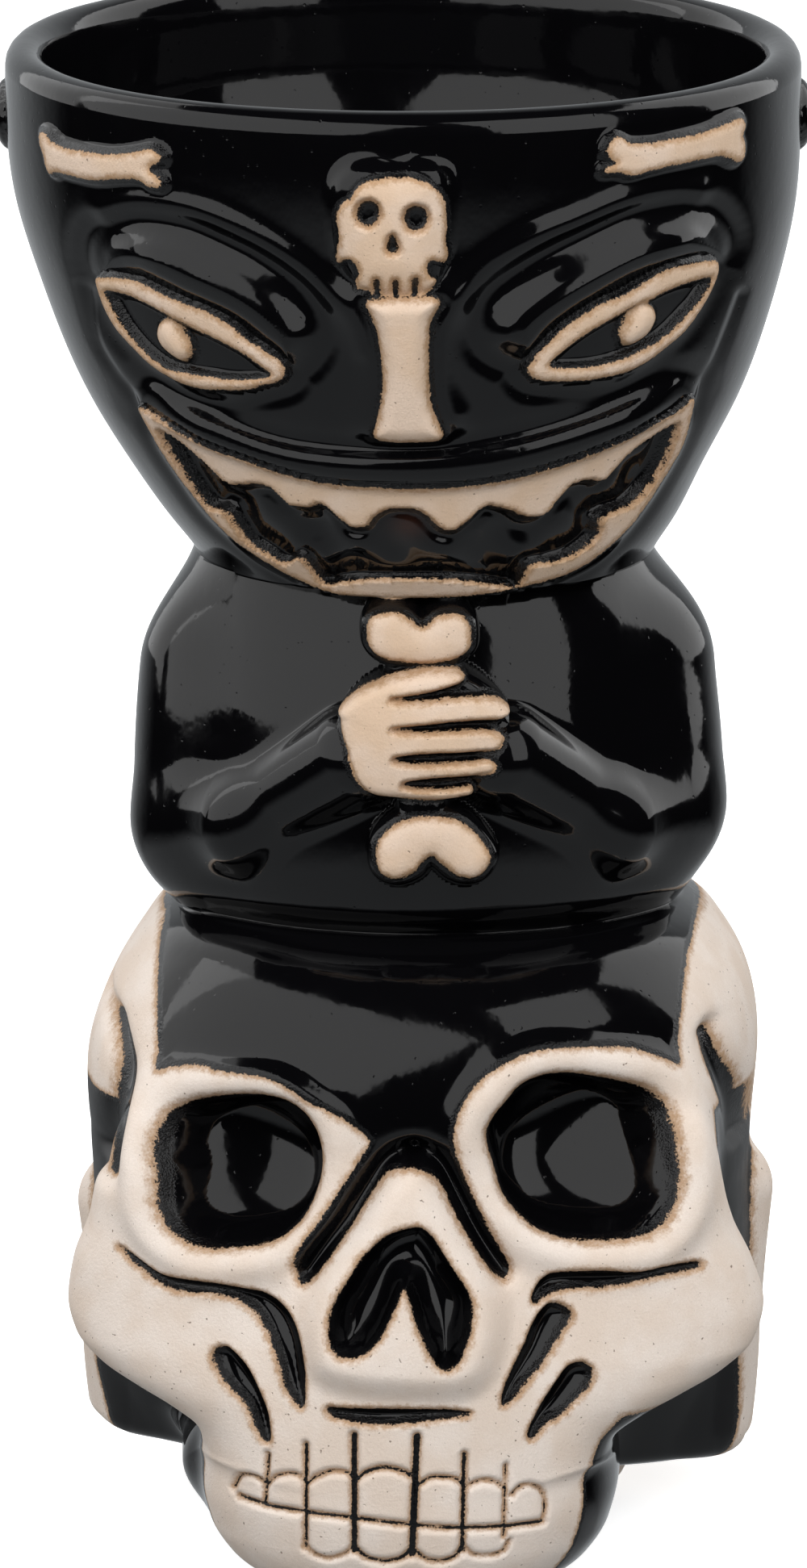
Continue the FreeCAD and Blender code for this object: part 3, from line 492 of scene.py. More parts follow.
def skull_frame(x, y):
    c, s = math.cos(-SKULL_YAW), math.sin(-SKULL_YAW)
    return x * c - y * s, x * s + y * c


def skull_field(x, y, z):
    x, y = skull_frame(x, y)
    soft = SOFT_FACE + SOFTER_BELOW * (1 - ramp(z, 12.0, 20.0))
    return smin(cranium_field(x, y, z), face_field(x, y, z), soft)


def outermost(field, axis_x, sin, cos, z, low=14.0, high=57.0, step=1.5):
    """How far out along each ray from the axis the surface lies."""
    shape = np.broadcast_shapes(axis_x.shape, sin.shape, z.shape)
    axis_x, sin, cos, z = (np.broadcast_to(v, shape).ravel() for v in (axis_x, sin, cos, z))
    found = np.full(axis_x.shape, low)
    live = np.arange(axis_x.size)
    r = high
    while r > low and live.size:
        hit = field(axis_x[live] + r * sin[live], -r * cos[live], z[live]) <= 0
        found[live[hit]] = r
        live = live[~hit]
        r -= step
    a, b = found.copy(), found + step
    for _ in range(9):
        m = (a + b) / 2
        inside = field(axis_x + m * sin, -m * cos, z) <= 0
        a, b = np.where(inside, m, a), np.where(inside, b, m)
    return ((a + b) / 2).reshape(shape)


# ---------------- the grid of the outside

front = np.arange(-FRONT_HALF_ANGLE, FRONT_HALF_ANGLE, STEP / GRID_RADIUS)
back = np.arange(FRONT_HALF_ANGLE, 2 * math.pi - FRONT_HALF_ANGLE, BACK_STEP / GRID_RADIUS)
PHI = np.concatenate([front, back])
COLUMNS = len(PHI)
SIN, COS = np.sin(PHI)[None, :], np.cos(PHI)[None, :]
ROWS_Z = np.concatenate([
    np.linspace(FIRST_ROW_Z, WAIST_Z, round((WAIST_Z - FIRST_ROW_Z) / STEP)),
    np.linspace(WAIST_Z, NECK_Z, round((NECK_Z - WAIST_Z) / STEP))[1:],
    np.linspace(NECK_Z, LIP_START, round((LIP_START - NECK_Z) / STEP))[1:],
])
DIP_FROM_Z = 160.0


def dipped(z):
    """The rim is a little lower at the front than at the back."""
    share = np.clip((z - DIP_FROM_Z) / (LIP_START - DIP_FROM_Z), 0, 1)
    return z - RIM_DIP * share ** 1.5 * (1 + COS) / 2


Z = dipped(ROWS_Z[:, None])
AXIS_X = smooth(ROWS_Z, AXIS[:, 0], AXIS[:, 1])[:, None]
crease = 122.7 - 1.3 * np.cos(PHI / 2)[None, :] ** 4  # where the head meets the torso
head_rows = ROWS_Z >= 119.0
torso_rows = (ROWS_Z > WAIST_Z - 1e-6) & (ROWS_Z < 124.5)
skull_rows = ROWS_Z <= WAIST_Z + 1e-6
R0 = np.zeros(Z.shape)
R0[skull_rows] = outermost(skull_field, AXIS_X[skull_rows], SIN, COS, ROWS_Z[skull_rows][:, None])
R0[torso_rows] = outermost(torso_field, AXIS_X[torso_rows], SIN, COS, ROWS_Z[torso_rows][:, None])
head_r = outermost(head_field, AXIS_X[head_rows], SIN, COS, Z[head_rows])
above = Z[head_rows] > crease
R0[head_rows] = np.where(above, head_r, R0[head_rows])

X0 = AXIS_X + R0 * SIN
Y0 = -R0 * COS
X_SKULL, Y_SKULL = skull_frame(X0, Y0)
FRONT = (Y0 < 2.0)

# ---------------- relief and glaze, from the outlines

D = {name: np.where(FRONT, outline_distance(tenths, X0, Z), FAR) for name, tenths in OUTLINES.items()}
L = {name: np.where(FRONT, line_distance(tenths, X0, Z), LINE_FAR) for name, tenths in LINES.items()}
H = np.zeros(Z.shape)
CLAY = np.full(Z.shape, -CLAY_FAR)
on_head = Z > crease


def lay_clay(region):
    """Wipe a region bare: the distance inside it, negative outside."""
    np.maximum(CLAY, region, out=CLAY)


# Forehead: bones, the small skull on its lump, the nose
head_relief = np.zeros(Z.shape)
for name in ("bone_left", "bone_right"):
    head_relief += rise("forehead_bone", D[name])
    lay_clay(-D[name])
holes = np.minimum(np.minimum(D["emblem_eye_left"], D["emblem_eye_right"]), D["emblem_nose"])
gaps = np.minimum(np.minimum(L["emblem_gap_1"], L["emblem_gap_2"]), L["emblem_gap_3"])
emblem = 0.5 * ramp(-D["emblem"], -0.3, 0.5)
emblem -= rise("emblem_hole", holes) + ridge("emblem_gap", gaps)
mound = ridge("nose_mound", np.maximum(D["nose"], 0)) * ramp(Z, 141.0, 146.0)
head_relief += np.maximum(rise("emblem_lump", D["emblem_dome"]) + emblem, rise("nose", D["nose"]))
head_relief = np.maximum(head_relief, mound)
lay_clay(np.minimum(np.minimum(-D["emblem"], holes), gaps - 0.32))
lay_clay(-D["nose"])

# Eyes: a bulging lid, a raised rim round a recess, a pupil
clear_of_nose = ramp(D["nose"], 0.2, 1.6)
for side in ("left", "right"):
    lid, eye, hole, pupil = (D[part + side] for part in ("lid_", "eye_", "hole_", "pupil_"))
    rim = np.maximum(eye, -hole)
    head_relief -= ridge("eye_moat", np.minimum(lid, eye))
    outer_end = ramp(-X0 if side == "left" else X0 + 3.4, 30.0, 39.5)
    head_relief += rise("upper_lid", lid) * ramp(eye, -1.2, 0.9) * (1 - 0.8 * outer_end)
    eyeball = rise("eyeball", hole) - 1.0 * ramp(-hole, -0.2, 0.5)
    in_eye = np.maximum(rise("eye_rim", rim), np.maximum(eyeball, eyeball + rise("pupil", pupil)))
    head_relief += np.where(eye < 0.35, in_eye, 0)
    lay_clay(-rim)
    lay_clay(-pupil)
    head_relief += ridge("brow", L["brow_" + side]) * clear_of_nose
    head_relief -= ridge("face_line", L["face_" + side])

# Mouth: an upper lip, a ring of teeth, and a tongue in the pit
lip, mouth, mouth_hole = D["lip"], D["mouth"], D["mouth_hole"]
ring = np.maximum(mouth, -mouth_hole)
head_relief += rise("upper_lip", lip) * (1 - 0.9 * ramp(np.abs(X0 - MOUTH_X), 24.0, 33.0))
head_relief -= ridge("lip_moat", lip) * ramp(mouth, -0.2, 1.0) * clear_of_nose
tongue = ridge("tongue_tip", np.hypot((X0 - TONGUE_X) / 1.5, (Z - 130.6)))
tongue = tongue + ridge("tongue_root", np.hypot((X0 - TONGUE_X) / 5.0, Z - 127.0))
lumps = 0.7 * np.sin(X0 * 0.62 + 0.5) * np.sin(Z * 0.55 + X0 * 0.1) * ramp(-mouth_hole, 0.6, 2.2)
pit = (-1.6 + tongue + lumps) * ramp(-mouth_hole, -0.1, 0.9)
in_mouth = np.where(mouth_hole < 0.1, pit, rise("teeth", ring))
head_relief += np.where(mouth < 0.3, in_mouth, 0) * (lip > -0.2)
lay_clay(-ring)


def ear_spans(side):
    """Squares of the distance from an ear's middle, along and up. They add up to 1 at its outline."""
    turn = PHI[None, :] * side
    arc = np.where(turn > 0, np.abs(turn - EAR_ANGLE) * HEAD_RADIUS, 60.0)
    return (arc / EAR_HALF_WIDTH) ** 2, ((Z - EAR_Z) / EAR_HALF_HEIGHT) ** 2


for side in (-1, 1):
    along, up = ear_spans(side)
    head_relief += EAR_RISE * np.sqrt(np.clip(1.0 - along - up, 0, 1))

H = np.where(on_head, head_relief, H)


def lift_to(reach):
    """How much the surface rises to stand this far in front of the axis."""
    return np.maximum(reach / np.maximum(COS, 0.2) - R0, 0)


# Hand and bone
torso_relief = np.zeros(Z.shape)
hand_front = HAND_REACH - 0.015 * (X0 + 0.5) ** 2 - 0.02 * (Z - 105.0) ** 2
lift = lift_to(hand_front - FINGER_RISE * ramp(D["hand"], -0.55, 0.35))
torso_relief = np.maximum(torso_relief, lift * dome(-D["hand_hull"] + 0.5, 2.0))
for name, reach in KNUCKLES:
    lift = lift_to(reach + KNUCKLE_RISE * dome(-D[name], 2.4))
    torso_relief = np.maximum(torso_relief, lift * dome(1.6 - D[name], 2.0))
shaft = np.abs(X0 - SHAFT_X) - SHAFT_RADIUS
along = ramp(Z, 92.0, 95.0) * (1 - ramp(Z, 113.0, 116.0))
shaft_relief = SHAFT_RISE * dome(-shaft, 2.6) * along * (Y0 < 0) * (D["hand_hull"] > -1.0)
torso_relief = np.maximum(torso_relief, shaft_relief)
is_torso = ~on_head & (Z > WAIST_Z)
H = np.where(is_torso, torso_relief, H)
bone_clay = np.maximum(-D["knuckle_top"], -D["knuckle_low"])
lay_clay(np.where(is_torso, np.maximum(-D["hand"], bone_clay), -CLAY_FAR))

# Skull
skull_relief = np.zeros(Z.shape)
panel, nasal = D["panel"], D["nasal"]
for name, bx, bz, bw, bh in SOCKETS:
    s = D[name]
    bowl = np.sqrt(np.clip(1.0 - ((X0 - bx) / bw) ** 2 - ((Z - bz) / bh) ** 2, 0, 1))
    skull_relief += ridge("socket_rim", s) * (1 - 0.8 * ramp(-panel, 0.3, 3.0))
    skull_relief -= SOCKET_STEP * ramp(-s, -1.0, 0.8) + SOCKET_DEPTH * bowl * ramp(-s, -0.3, 2.2)
skull_relief += NOSE_RIDGE_RISE * (1 - ramp(D["nose_ridge"], -3.0, 1.6))
nose_hollow = NASAL_DEPTH * dome(-nasal, 3.4) * ramp(-nasal, -0.3, 0.8)
skull_relief -= nose_hollow + NASAL_STEP * ramp(-nasal, -0.8, 0.2)
for name in ("nose_v_left", "nose_v_right"):
    skull_relief -= ridge("nose_groove", L[name])
groove = np.full(Z.shape, FAR)
for name in GROOVES:
    groove = np.minimum(groove, D[name])
skull_relief -= GROOVE_DEPTH * (1 - np.exp(-(np.maximum(-groove + 0.35, 0) / 0.9) ** 1.3))
tooth = np.full(Z.shape, FAR)
for tenths, half in TOOTH_LINES:
    d = np.where(FRONT, line_distance(tenths, X0, Z, 3.0), FAR)
    tooth = np.minimum(tooth, d - half)
skull_relief -= TOOTH_LINE_DEPTH * (1 - ramp(tooth, -0.25, 0.55))
temple = np.minimum(L["temple_left"], L["temple_right"])
skull_relief -= ridge("temple", temple)
is_skull = ~on_head & (Z <= WAIST_Z)
H = np.where(is_skull, skull_relief, H)

# Where the skull is black: glaze stays in the hollows and is wiped off the rest
parting = cranium_field(X_SKULL, Y_SKULL, Z) - face_field(X_SKULL, Y_SKULL, Z)
black = -panel
for d in (D["socket_left"], D["socket_right"]):
    black = np.maximum(black, -d)
black = np.maximum(black, -nasal)
black = np.maximum(black, -groove)
black = np.maximum(black, -2.0 * (tooth + 0.12))
black = np.maximum(black, 1.15 - temple - 0.08 * np.abs(Z - 59.0))
# The block's sides that the face stands in front of
cream_from = np.where(X_SKULL < 0, 40.9, np.where(Z > 30, 40.4, 39.0))
hidden = np.minimum.reduce([-parting - 0.3, cream_from - np.abs(X_SKULL), 4.0 - Y_SKULL, 57.0 - Z,
                            np.where(Z > 44.0, np.abs(X_SKULL) - 31.0, 6.0)])
black = np.maximum(black, np.where(Z < 60, hidden, -6.0))
# The muzzle's sides, behind the teeth
under = np.minimum(Y_SKULL + 34.8 + 0.17 * X_SKULL, np.where(X_SKULL > 0, 23.0, 18.0) - Z)
under = under + 1.6 * ramp(-X_SKULL, 17.0, 21.0)
under = np.minimum.reduce([under, 33.0 - np.abs(X_SKULL), 6.0 - Y_SKULL])
black = np.maximum(black, under)
black = np.maximum(black, Z - COLLAR_Z)
CLAY = np.clip(np.where(is_skull, -black, CLAY), -CLAY_FAR, CLAY_FAR)

R = R0 + H

# ---------------- which piece each quad of the outside belongs to
LABELS = ["ear_left", "ear_right", "forehead_bone_left", "forehead_bone_right", "forehead_skull", "nose_bone",
          "eye_rim_left", "eye_rim_right", "pupil_left", "pupil_right", "upper_lid_left", "upper_lid_right",
          "brow_left", "brow_right", "upper_lip", "upper_teeth", "lower_teeth", "arm_left", "arm_right",
          "bone_staff", "hand", "muzzle", "jaw", "nose_ridge", "cheekbone_left", "cheekbone_right",
          "socket_rim_left", "socket_rim_right", "skull_upper_teeth", "skull_lower_teeth"]
LABEL = np.zeros(Z.shape, np.int32)


def claim(name, mask):
    free = LABEL == 0
    LABEL[mask & free] = LABELS.index(name) + 1


claim("nose_bone", on_head & (D["nose"] < 0.5))
claim("forehead_skull", on_head & (D["emblem"] < 0.5))
for side, sign in (("left", -1), ("right", 1)):
    claim("forehead_bone_" + side, on_head & (D["bone_" + side] < 0.4))
    claim("pupil_" + side, on_head & (D["pupil_" + side] < 0.2))
    claim("eye_rim_" + side, on_head & (np.maximum(D["eye_" + side], -D["hole_" + side]) < 0.3))
    claim("upper_lid_" + side, on_head & (D["lid_" + side] < -0.2))
    claim("brow_" + side, on_head & (L["brow_" + side] < 1.0))
    along, up = ear_spans(sign)
    claim("ear_" + side, on_head & (along + up < 1.0))
claim("upper_lip", on_head & (lip < 0.3))
middle_z = 128.0 + 13.3 * ((X0 - MOUTH_X) / 30.4) ** 2  # between the upper and the lower teeth
claim("upper_teeth", on_head & (ring < 0.2) & (Z > middle_z))
claim("lower_teeth", on_head & (ring < 0.2) & (Z <= middle_z) & (Z > NECK_Z + 0.4))
claim("hand", is_torso & (D["hand_hull"] < 0.3))
claim("bone_staff", is_torso & (np.minimum(D["knuckle_top"], D["knuckle_low"]) < 1.4))
core = section_field(TORSO, ROUND, X0, Y0, Z)
for side, sign in (("left", -1), ("right", 1)):
    upper, fore = arm_field(X0, Y0, Z, sign)
    claim("arm_" + side, is_torso & (np.minimum(upper, fore) < 0.6) & (core > 0.8))
for side in ("left", "right"):
    s = D["socket_" + side]
    claim("socket_rim_" + side, is_skull & (s > 0) & (s < 3.6) & (panel > 0.2))
claim("nose_ridge", is_skull & (D["nose_ridge"] < 0) & (nasal > 0.0) & (panel > 0.4))
is_face = is_skull & (parting > 0) & (Y_SKULL < -6) & (Z < 47.0)
bite_z = 12.0 - 1.6 * (X0 + 22.0) / 36.0
TOOTH_HEIGHT = 4.6
in_teeth = is_face & (X0 > -23.5) & (X0 < 15.0) & (Y0 < -30)
claim("skull_upper_teeth", in_teeth & (Z > bite_z) & (Z < bite_z + TOOTH_HEIGHT))
claim("skull_lower_teeth", in_teeth & (Z <= bite_z) & (Z > bite_z - TOOTH_HEIGHT))
claim("jaw", is_face & (Z <= bite_z) & (Z > 2.0))
claim("muzzle", is_face & (Z > bite_z) & (np.abs(X_SKULL) < 25.0 - 0.42 * np.maximum(Z - 24.0, 0)))
claim("cheekbone_left", is_face & (Z > 14.0) & (X_SKULL < -14.0))
claim("cheekbone_right", is_face & (Z > 14.0) & (X_SKULL > 14.0))

# Quads: labels from their lower left corner, with no two patches of one piece that touch only at a corner
QUAD = LABEL[:-1].copy()
for _ in range(12):
    a, b = QUAD[:-1], np.roll(QUAD, -1, 1)[:-1]
    c, d = QUAD[1:], np.roll(QUAD, -1, 1)[1:]
    first = (a == d) & (b != a) & (c != a)
    second = (b == c) & (a != b) & (d != b)
    both_in = (a > 0) & (d > 0) & (b == 0) & (c == 0)
    others_in = (b > 0) & (c > 0) & (a == 0) & (d == 0)
    if not (first | second | both_in | others_in).any():
        break
    rows, cols = np.nonzero(first | both_in)
    QUAD[rows, (cols + 1) % COLUMNS] = QUAD[rows, cols]
    rows, cols = np.nonzero((second | others_in) & ~(first | both_in))
    QUAD[rows, cols] = QUAD[rows, (cols + 1) % COLUMNS]

# ---------------- points of the whole profile, row by row


def level(r, x, z):
    return np.stack([x + r * SIN[0], -r * COS[0], z], -1)


outer = np.stack([AXIS_X + R * SIN, -R * COS, Z], -1)
lip_rows = []
for turn in np.linspace(0, math.pi, 11)[1:]:
    r = R[-1] - WALL / 2 + WALL / 2 * math.cos(turn)
    lip_rows.append(level(r, AXIS_X[-1], Z[-1] + WALL / 2 * math.sin(turn)))
INNER_STEP = 1.5
inner_z = np.concatenate([
    np.arange(LIP_START - INNER_STEP, NECK_Z, -INNER_STEP), [NECK_Z],
    np.arange(NECK_Z - INNER_STEP, WAIST_Z, -INNER_STEP), [WAIST_Z],
    np.arange(WAIST_Z - INNER_STEP, FLOOR_Z + 2.0, -INNER_STEP),
])
CAVITY = np.array([
    (FLOOR_Z, 33.0, -1.0, 33.5, 0.0), (18.0, 35.0, -4.0, 35.5, 0.0), (23.0, 36.0, -7.0, 36.6, 0.0),
    (30.0, 36.0, -12.0, 37.0, 0.0), (44.0, 35.4, -22.5, 37.0, 0.0), (54.0, 35.4, -24.5, 36.6, 0.0),
    (62.0, 35.0, -24.8, 35.4, 0.2), (68.0, 34.0, -26.0, 33.2, 0.6), (73.0, 31.8, -26.6, 29.8, 1.0),
    (77.0, 28.8, -25.0, 25.8, 1.2), (79.0, 26.3, -22.2, 23.2, 1.0),
])


def cavity_field(x, y, z):
    xs, ys = skull_frame(x, y)
    in_skull = section_field(CAVITY, BLOCKY, xs, ys, z)
    in_torso = section_field(TORSO, ROUND, x, y, z) + WALL
    thicker = 3.2 * (1 - ramp(z, 154.0, 176.0)) * ramp(z, 121.0, 140.0)
    in_head = section_field(HEAD, ROUND, x, y, z) + WALL + thicker
    return np.where(z < WAIST_Z, in_skull, np.where(z < NECK_Z, in_torso, in_head))


inner_axis = np.interp(inner_z, ROWS_Z, AXIS_X[:, 0])[:, None]
IR = outermost(cavity_field, inner_axis, SIN, COS, inner_z[:, None], low=1.0, high=46.0)
inner = np.stack([inner_axis + IR * SIN, -IR * COS, dipped(inner_z[:, None])], -1)
floor_rows = []
for share, drop in ((0.93, 1.2), (0.8, 1.9), (0.55, 2.0), (0.28, 2.0)):
    p = inner[-1].copy()
    p[:, 0] = p[:, 0] * share
    p[:, 1] = (p[:, 1] - 8.0) * share + 8.0
    p[:, 2] = max(inner_z[-1] - drop, FLOOR_Z)
    floor_rows.append(p)
foot_rows = []
for share, inset, z in (
    (1.0, 0.55, 0.35), (1.0, 1.3, 0.0), (0.8, 1.3, 0.0), (0.5, 1.3, 0.0), (0.22, 1.3, 0.0),
):
    r = (R[0] - inset) * share
    foot_rows.append(level(r, AXIS_X[0], np.full(COLUMNS, z)))
foot = np.stack(foot_rows[::-1])
LEVELS = np.concatenate([foot, outer, np.stack(lip_rows), inner, np.stack(floor_rows)])
OUT_0 = len(foot)
OUT_END = OUT_0 + len(outer)
IN_0 = OUT_END + len(lip_rows)
TOTAL = len(LEVELS)

# Normals by differences along and across the rows
across = np.roll(LEVELS, -1, 1) - np.roll(LEVELS, 1, 1)
along_rows = np.empty_like(LEVELS)
along_rows[1:-1] = LEVELS[2:] - LEVELS[:-2]
along_rows[0], along_rows[-1] = LEVELS[1] - LEVELS[0], LEVELS[-1] - LEVELS[-2]
NORMALS = np.cross(across, along_rows)
NORMALS /= np.maximum(np.linalg.norm(NORMALS, axis=2, keepdims=True), 1e-12)

CLAY_ALL = np.full((TOTAL, COLUMNS), -CLAY_FAR)
CLAY_ALL[OUT_0:OUT_END] = CLAY
CLAY_ALL[:OUT_0] = 3.0
TONE = np.zeros((TOTAL, COLUMNS))
TONE[:OUT_END][LEVELS[:OUT_END, :, 2] < WAIST_Z] = 1.0
RED = np.zeros((TOTAL, COLUMNS))
RED[OUT_0:OUT_END] = bell(np.hypot(X0 - TONGUE_X, (Z - 131.4) * 1.1), 2.0) * (Y0 < 0) * (Z > 125)

# Every point: the surface, the floors of the tiles, and the middles of the cup's floor and of the foot
surface = LEVELS.reshape(-1, 3)
surface_normals = NORMALS.reshape(-1, 3)
OFFSET = len(surface)  # a tile's floor point is its outer point's number plus OFFSET
CENTRE_FLOOR, CENTRE_FOOT = 2 * OFFSET, 2 * OFFSET + 1
deep = surface - surface_normals * TILE_DEPTH
all_points = np.concatenate([surface, deep, [[0.0, 8.0, FLOOR_Z], [0.0, 0.0, 0.0]]])
all_normals = np.concatenate([surface_normals, -surface_normals, [[0, 0, 1.0], [0, 0, -1.0]]])
POINT_VALUES = {
    name: np.concatenate([values.ravel(), values.ravel(), middles])
    for name, values, middles in (
        ("clay", CLAY_ALL, [-CLAY_FAR, 3.0]), ("tone", TONE, [0.0, 1.0]), ("red", RED, [0.0, 0.0]))
}


def number(row, col):
    return row * COLUMNS + col % COLUMNS


def quads(low, high, cols):
    """Quads between two rows, facing outwards when high is above low on the outside."""
    return np.stack([number(low, cols), number(low, cols + 1), number(high, cols + 1), number(high, cols)], 1)


# ---------------- materials


class Nodes:
    """Short calls for building a node tree."""

    def __init__(self, tree):
        self.tree = tree

    def new(self, kind, **values):
        node = self.tree.nodes.new(kind)
        for key, value in values.items():
            setattr(node, key, value)
        return node

    def put(self, node, **sockets):
        for name, value in sockets.items():
            numbered = name[0] == "i" and name[1:].isdigit()
            socket = node.inputs[int(name[1:]) if numbered else name.replace("_", " ")]
            if isinstance(value, bpy.types.NodeSocket):
                self.tree.links.new(value, socket)
            else:
                socket.default_value = value
        return node

    def maths(self, operation, a, b=0.0):
        node = self.new("ShaderNodeMath", operation=operation)
        return self.put(node, i0=a, i1=b).outputs[0]

    def add(self, a, b):
        return self.maths("ADD", a, b)

    def times(self, a, b):
        return self.maths("MULTIPLY", a, b)

    def noise(self, vector, scale, detail=2.0, roughness=0.5):
        node = self.new("ShaderNodeTexNoise")
        self.put(node, Vector=vector, Scale=scale, Detail=detail, Roughness=roughness)
        return node.outputs["Fac"]

    def ramp(self, value, low, high, to_low=0.0, to_high=1.0):
        node = self.new("ShaderNodeMapRange", interpolation_type="SMOOTHSTEP")
        return self.put(node, i0=value, i1=low, i2=high, i3=to_low, i4=to_high).outputs[0]

    def mix(self, factor, a, b):
        node = self.new("ShaderNodeMix", data_type="RGBA")
        return self.put(node, i0=factor, i6=a, i7=b).outputs[2]

    def attribute(self, name):
        return self.new("ShaderNodeAttribute", attribute_name=name).outputs["Fac"]


def fired_surface():
    """Black gloss glaze, and bare clay where it was wiped off before firing."""
    material = bpy.data.materials.new("fired_surface")
    material.use_nodes = True
    t = Nodes(material.node_tree)
    shader = material.node_tree.nodes["Principled BSDF"]
    where = t.new("ShaderNodeTexCoord").outputs["Object"]
    sd = t.attribute("clay")
    tone = t.attribute("tone")
    red = t.attribute("red")
    coarse = t.noise(where, 900.0, 3.0, 0.6)
    grain = t.noise(where, 3600.0, 2.0, 0.6)
    ragged = t.add(t.times(t.maths("SUBTRACT", coarse, 0.5), 0.5),
                   t.times(t.maths("SUBTRACT", grain, 0.5), 0.5))
    edge = t.add(sd, ragged)
    bare = t.ramp(edge, -0.05, 0.1)
    # Clay: a warm buff, browner beside the glaze, with fine specks
    warm = t.mix(tone, (0.73, 0.535, 0.38, 1), (0.80, 0.675, 0.575, 1))
    pale = t.mix(tone, (0.79, 0.62, 0.49, 1), (0.86, 0.76, 0.68, 1))
    patches = t.ramp(t.noise(where, 120.0, 3.0, 0.55), 0.35, 0.65)
    clay = t.mix(patches, warm, pale)
    halo_width = t.add(edge, t.times(t.maths("SUBTRACT", coarse, 0.5), 0.8))
    halo = t.ramp(halo_width, 0.05, 0.95, 0.85, 0.0)
    clay = t.mix(halo, clay, (0.42, 0.235, 0.105, 1))
    specks = t.ramp(t.noise(where, 1900.0, 1.0, 0.5), 0.27, 0.22, 0.0, 0.75)
    clay = t.mix(specks, clay, (0.16, 0.1, 0.065, 1))
    fibres = t.ramp(t.noise(where, 5200.0, 2.0, 0.7), 0.35, 0.7, 0.12, 0.0)
    clay = t.mix(fibres, clay, (0.45, 0.33, 0.24, 1))
    glaze = t.mix(t.times(red, 0.8), (0.002, 0.0019, 0.0024, 1), (0.035, 0.014, 0.009, 1))
    colour = t.mix(bare, glaze, clay)
    t.put(shader, Base_Color=colour)
    rough = t.ramp(t.noise(where, 260.0, 3.0, 0.5), 0.3, 0.7, 0.05, 0.1)
    rough = t.add(t.times(bare, 0.66), rough)
    # Dull, thin glaze in the crevices at the sides of the skull
    across = t.new("ShaderNodeSeparateXYZ")
    t.put(across, Vector=where)
    dull = t.times(tone, t.ramp(t.maths("ABSOLUTE", across.outputs["X"]), 0.0352, 0.0372))
    rough = t.add(rough, t.times(dull, 0.4))
    t.put(shader, Roughness=rough)
    shader.inputs["IOR"].default_value = 1.5
    # Bump: orange peel and pinholes in the glaze, sandy grain in the clay
    peel = t.noise(where, 330.0, 2.0, 0.5)
    wave = t.noise(where, 75.0, 1.0, 0.5)
    holes = t.new("ShaderNodeTexVoronoi")
    t.put(holes, Vector=where, Scale=620.0)
    pin = t.ramp(holes.outputs["Distance"], 0.04, 0.13, -1.0, 0.0)
    glaze_height = t.add(t.times(peel, 0.028), t.times(wave, 0.11))
    glaze_height = t.add(glaze_height, t.times(pin, 0.012))
    sand = t.noise(where, 2600.0, 3.0, 0.65)
    clay_height = t.add(t.times(sand, 0.09), t.times(specks, -0.05))
    glaze_film = t.ramp(edge, -0.7, 0.1, 0.12, 0.0)
    height = t.add(t.times(bare, clay_height), t.times(t.maths("SUBTRACT", 1.0, bare), glaze_height))
    height = t.add(height, glaze_film)
    bump = t.new("ShaderNodeBump")
    t.put(bump, Strength=1.0, Distance=0.001, Height=height)
    t.put(shader, Normal=bump.outputs[0])
    return material


SURFACE = fired_surface()


def make_piece(name, faces, node, triangles=None):
    """A mesh from quads given by point numbers, with only the points it uses."""
    corners = [faces.ravel()] if triangles is None else [faces.ravel(), triangles.ravel()]
    used = np.unique(np.concatenate(corners))
    renumber = np.full(len(all_points), -1, np.int64)
    renumber[used] = np.arange(len(used))
    mesh = bpy.data.meshes.new(name)
    loops = renumber[faces].ravel()
    starts = np.arange(len(faces)) * 4
    if triangles is not None:
        starts = np.concatenate([starts, len(loops) + np.arange(len(triangles)) * 3])
        loops = np.concatenate([loops, renumber[triangles].ravel()])
    mesh.vertices.add(len(used))
    mesh.vertices.foreach_set("co", (all_points[used] * MM).astype(np.float32).ravel())
    mesh.loops.add(len(loops))
    mesh.loops.foreach_set("vertex_index", loops.astype(np.int32))
    mesh.polygons.add(len(starts))
    mesh.polygons.foreach_set("loop_start", starts.astype(np.int32))
    mesh.polygons.foreach_set("use_smooth", np.ones(len(starts), bool))
    mesh.update(calc_edges=True)
    mesh.validate()
    for key, values in POINT_VALUES.items():
        layer = mesh.attributes.new(key, "FLOAT", "POINT")
        layer.data.foreach_set("value", values[used].astype(np.float32))
    mesh.normals_split_custom_set_from_vertices(all_normals[used].astype(np.float32))
    mesh.materials.append(SURFACE)
    piece = bpy.data.objects.new(name, mesh)
    bpy.context.scene.collection.objects.link(piece)
    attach(piece, "root")
    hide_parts(node)


def patch(mask):
    r, c = np.nonzero(mask)
    return quads(r + OUT_0, r + OUT_0 + 1, c)


def borders(mask):
    """The directed edges of a patch of outside quads whose neighbour isn't in the patch."""
    edges = []
    r, c = np.nonzero(mask)
    a, b, d, e = patch(mask).T
    padded = np.zeros((mask.shape[0] + 2, mask.shape[1]), bool)
    padded[1:-1] = mask
    for inside, start, end in (
        (padded[r, c], a, b), (mask[r, (c + 1) % COLUMNS], b, d), (padded[r + 2, c], d, e),
        (mask[r, (c - 1) % COLUMNS], e, a),
    ):
        edges.append(np.stack([start[~inside], end[~inside]], 1))
    return np.concatenate(edges)


for i, name in enumerate(LABELS):
    mask = QUAD == i + 1
    if not mask.any():
        continue
    top = patch(mask)
    edge = borders(mask)
    floor_faces = (top + OFFSET)[:, ::-1]
    sides = np.stack([edge[:, 1], edge[:, 0], edge[:, 0] + OFFSET, edge[:, 1] + OFFSET], 1)
    make_piece(name + "_piece", np.concatenate([top, floor_faces, sides]), name)

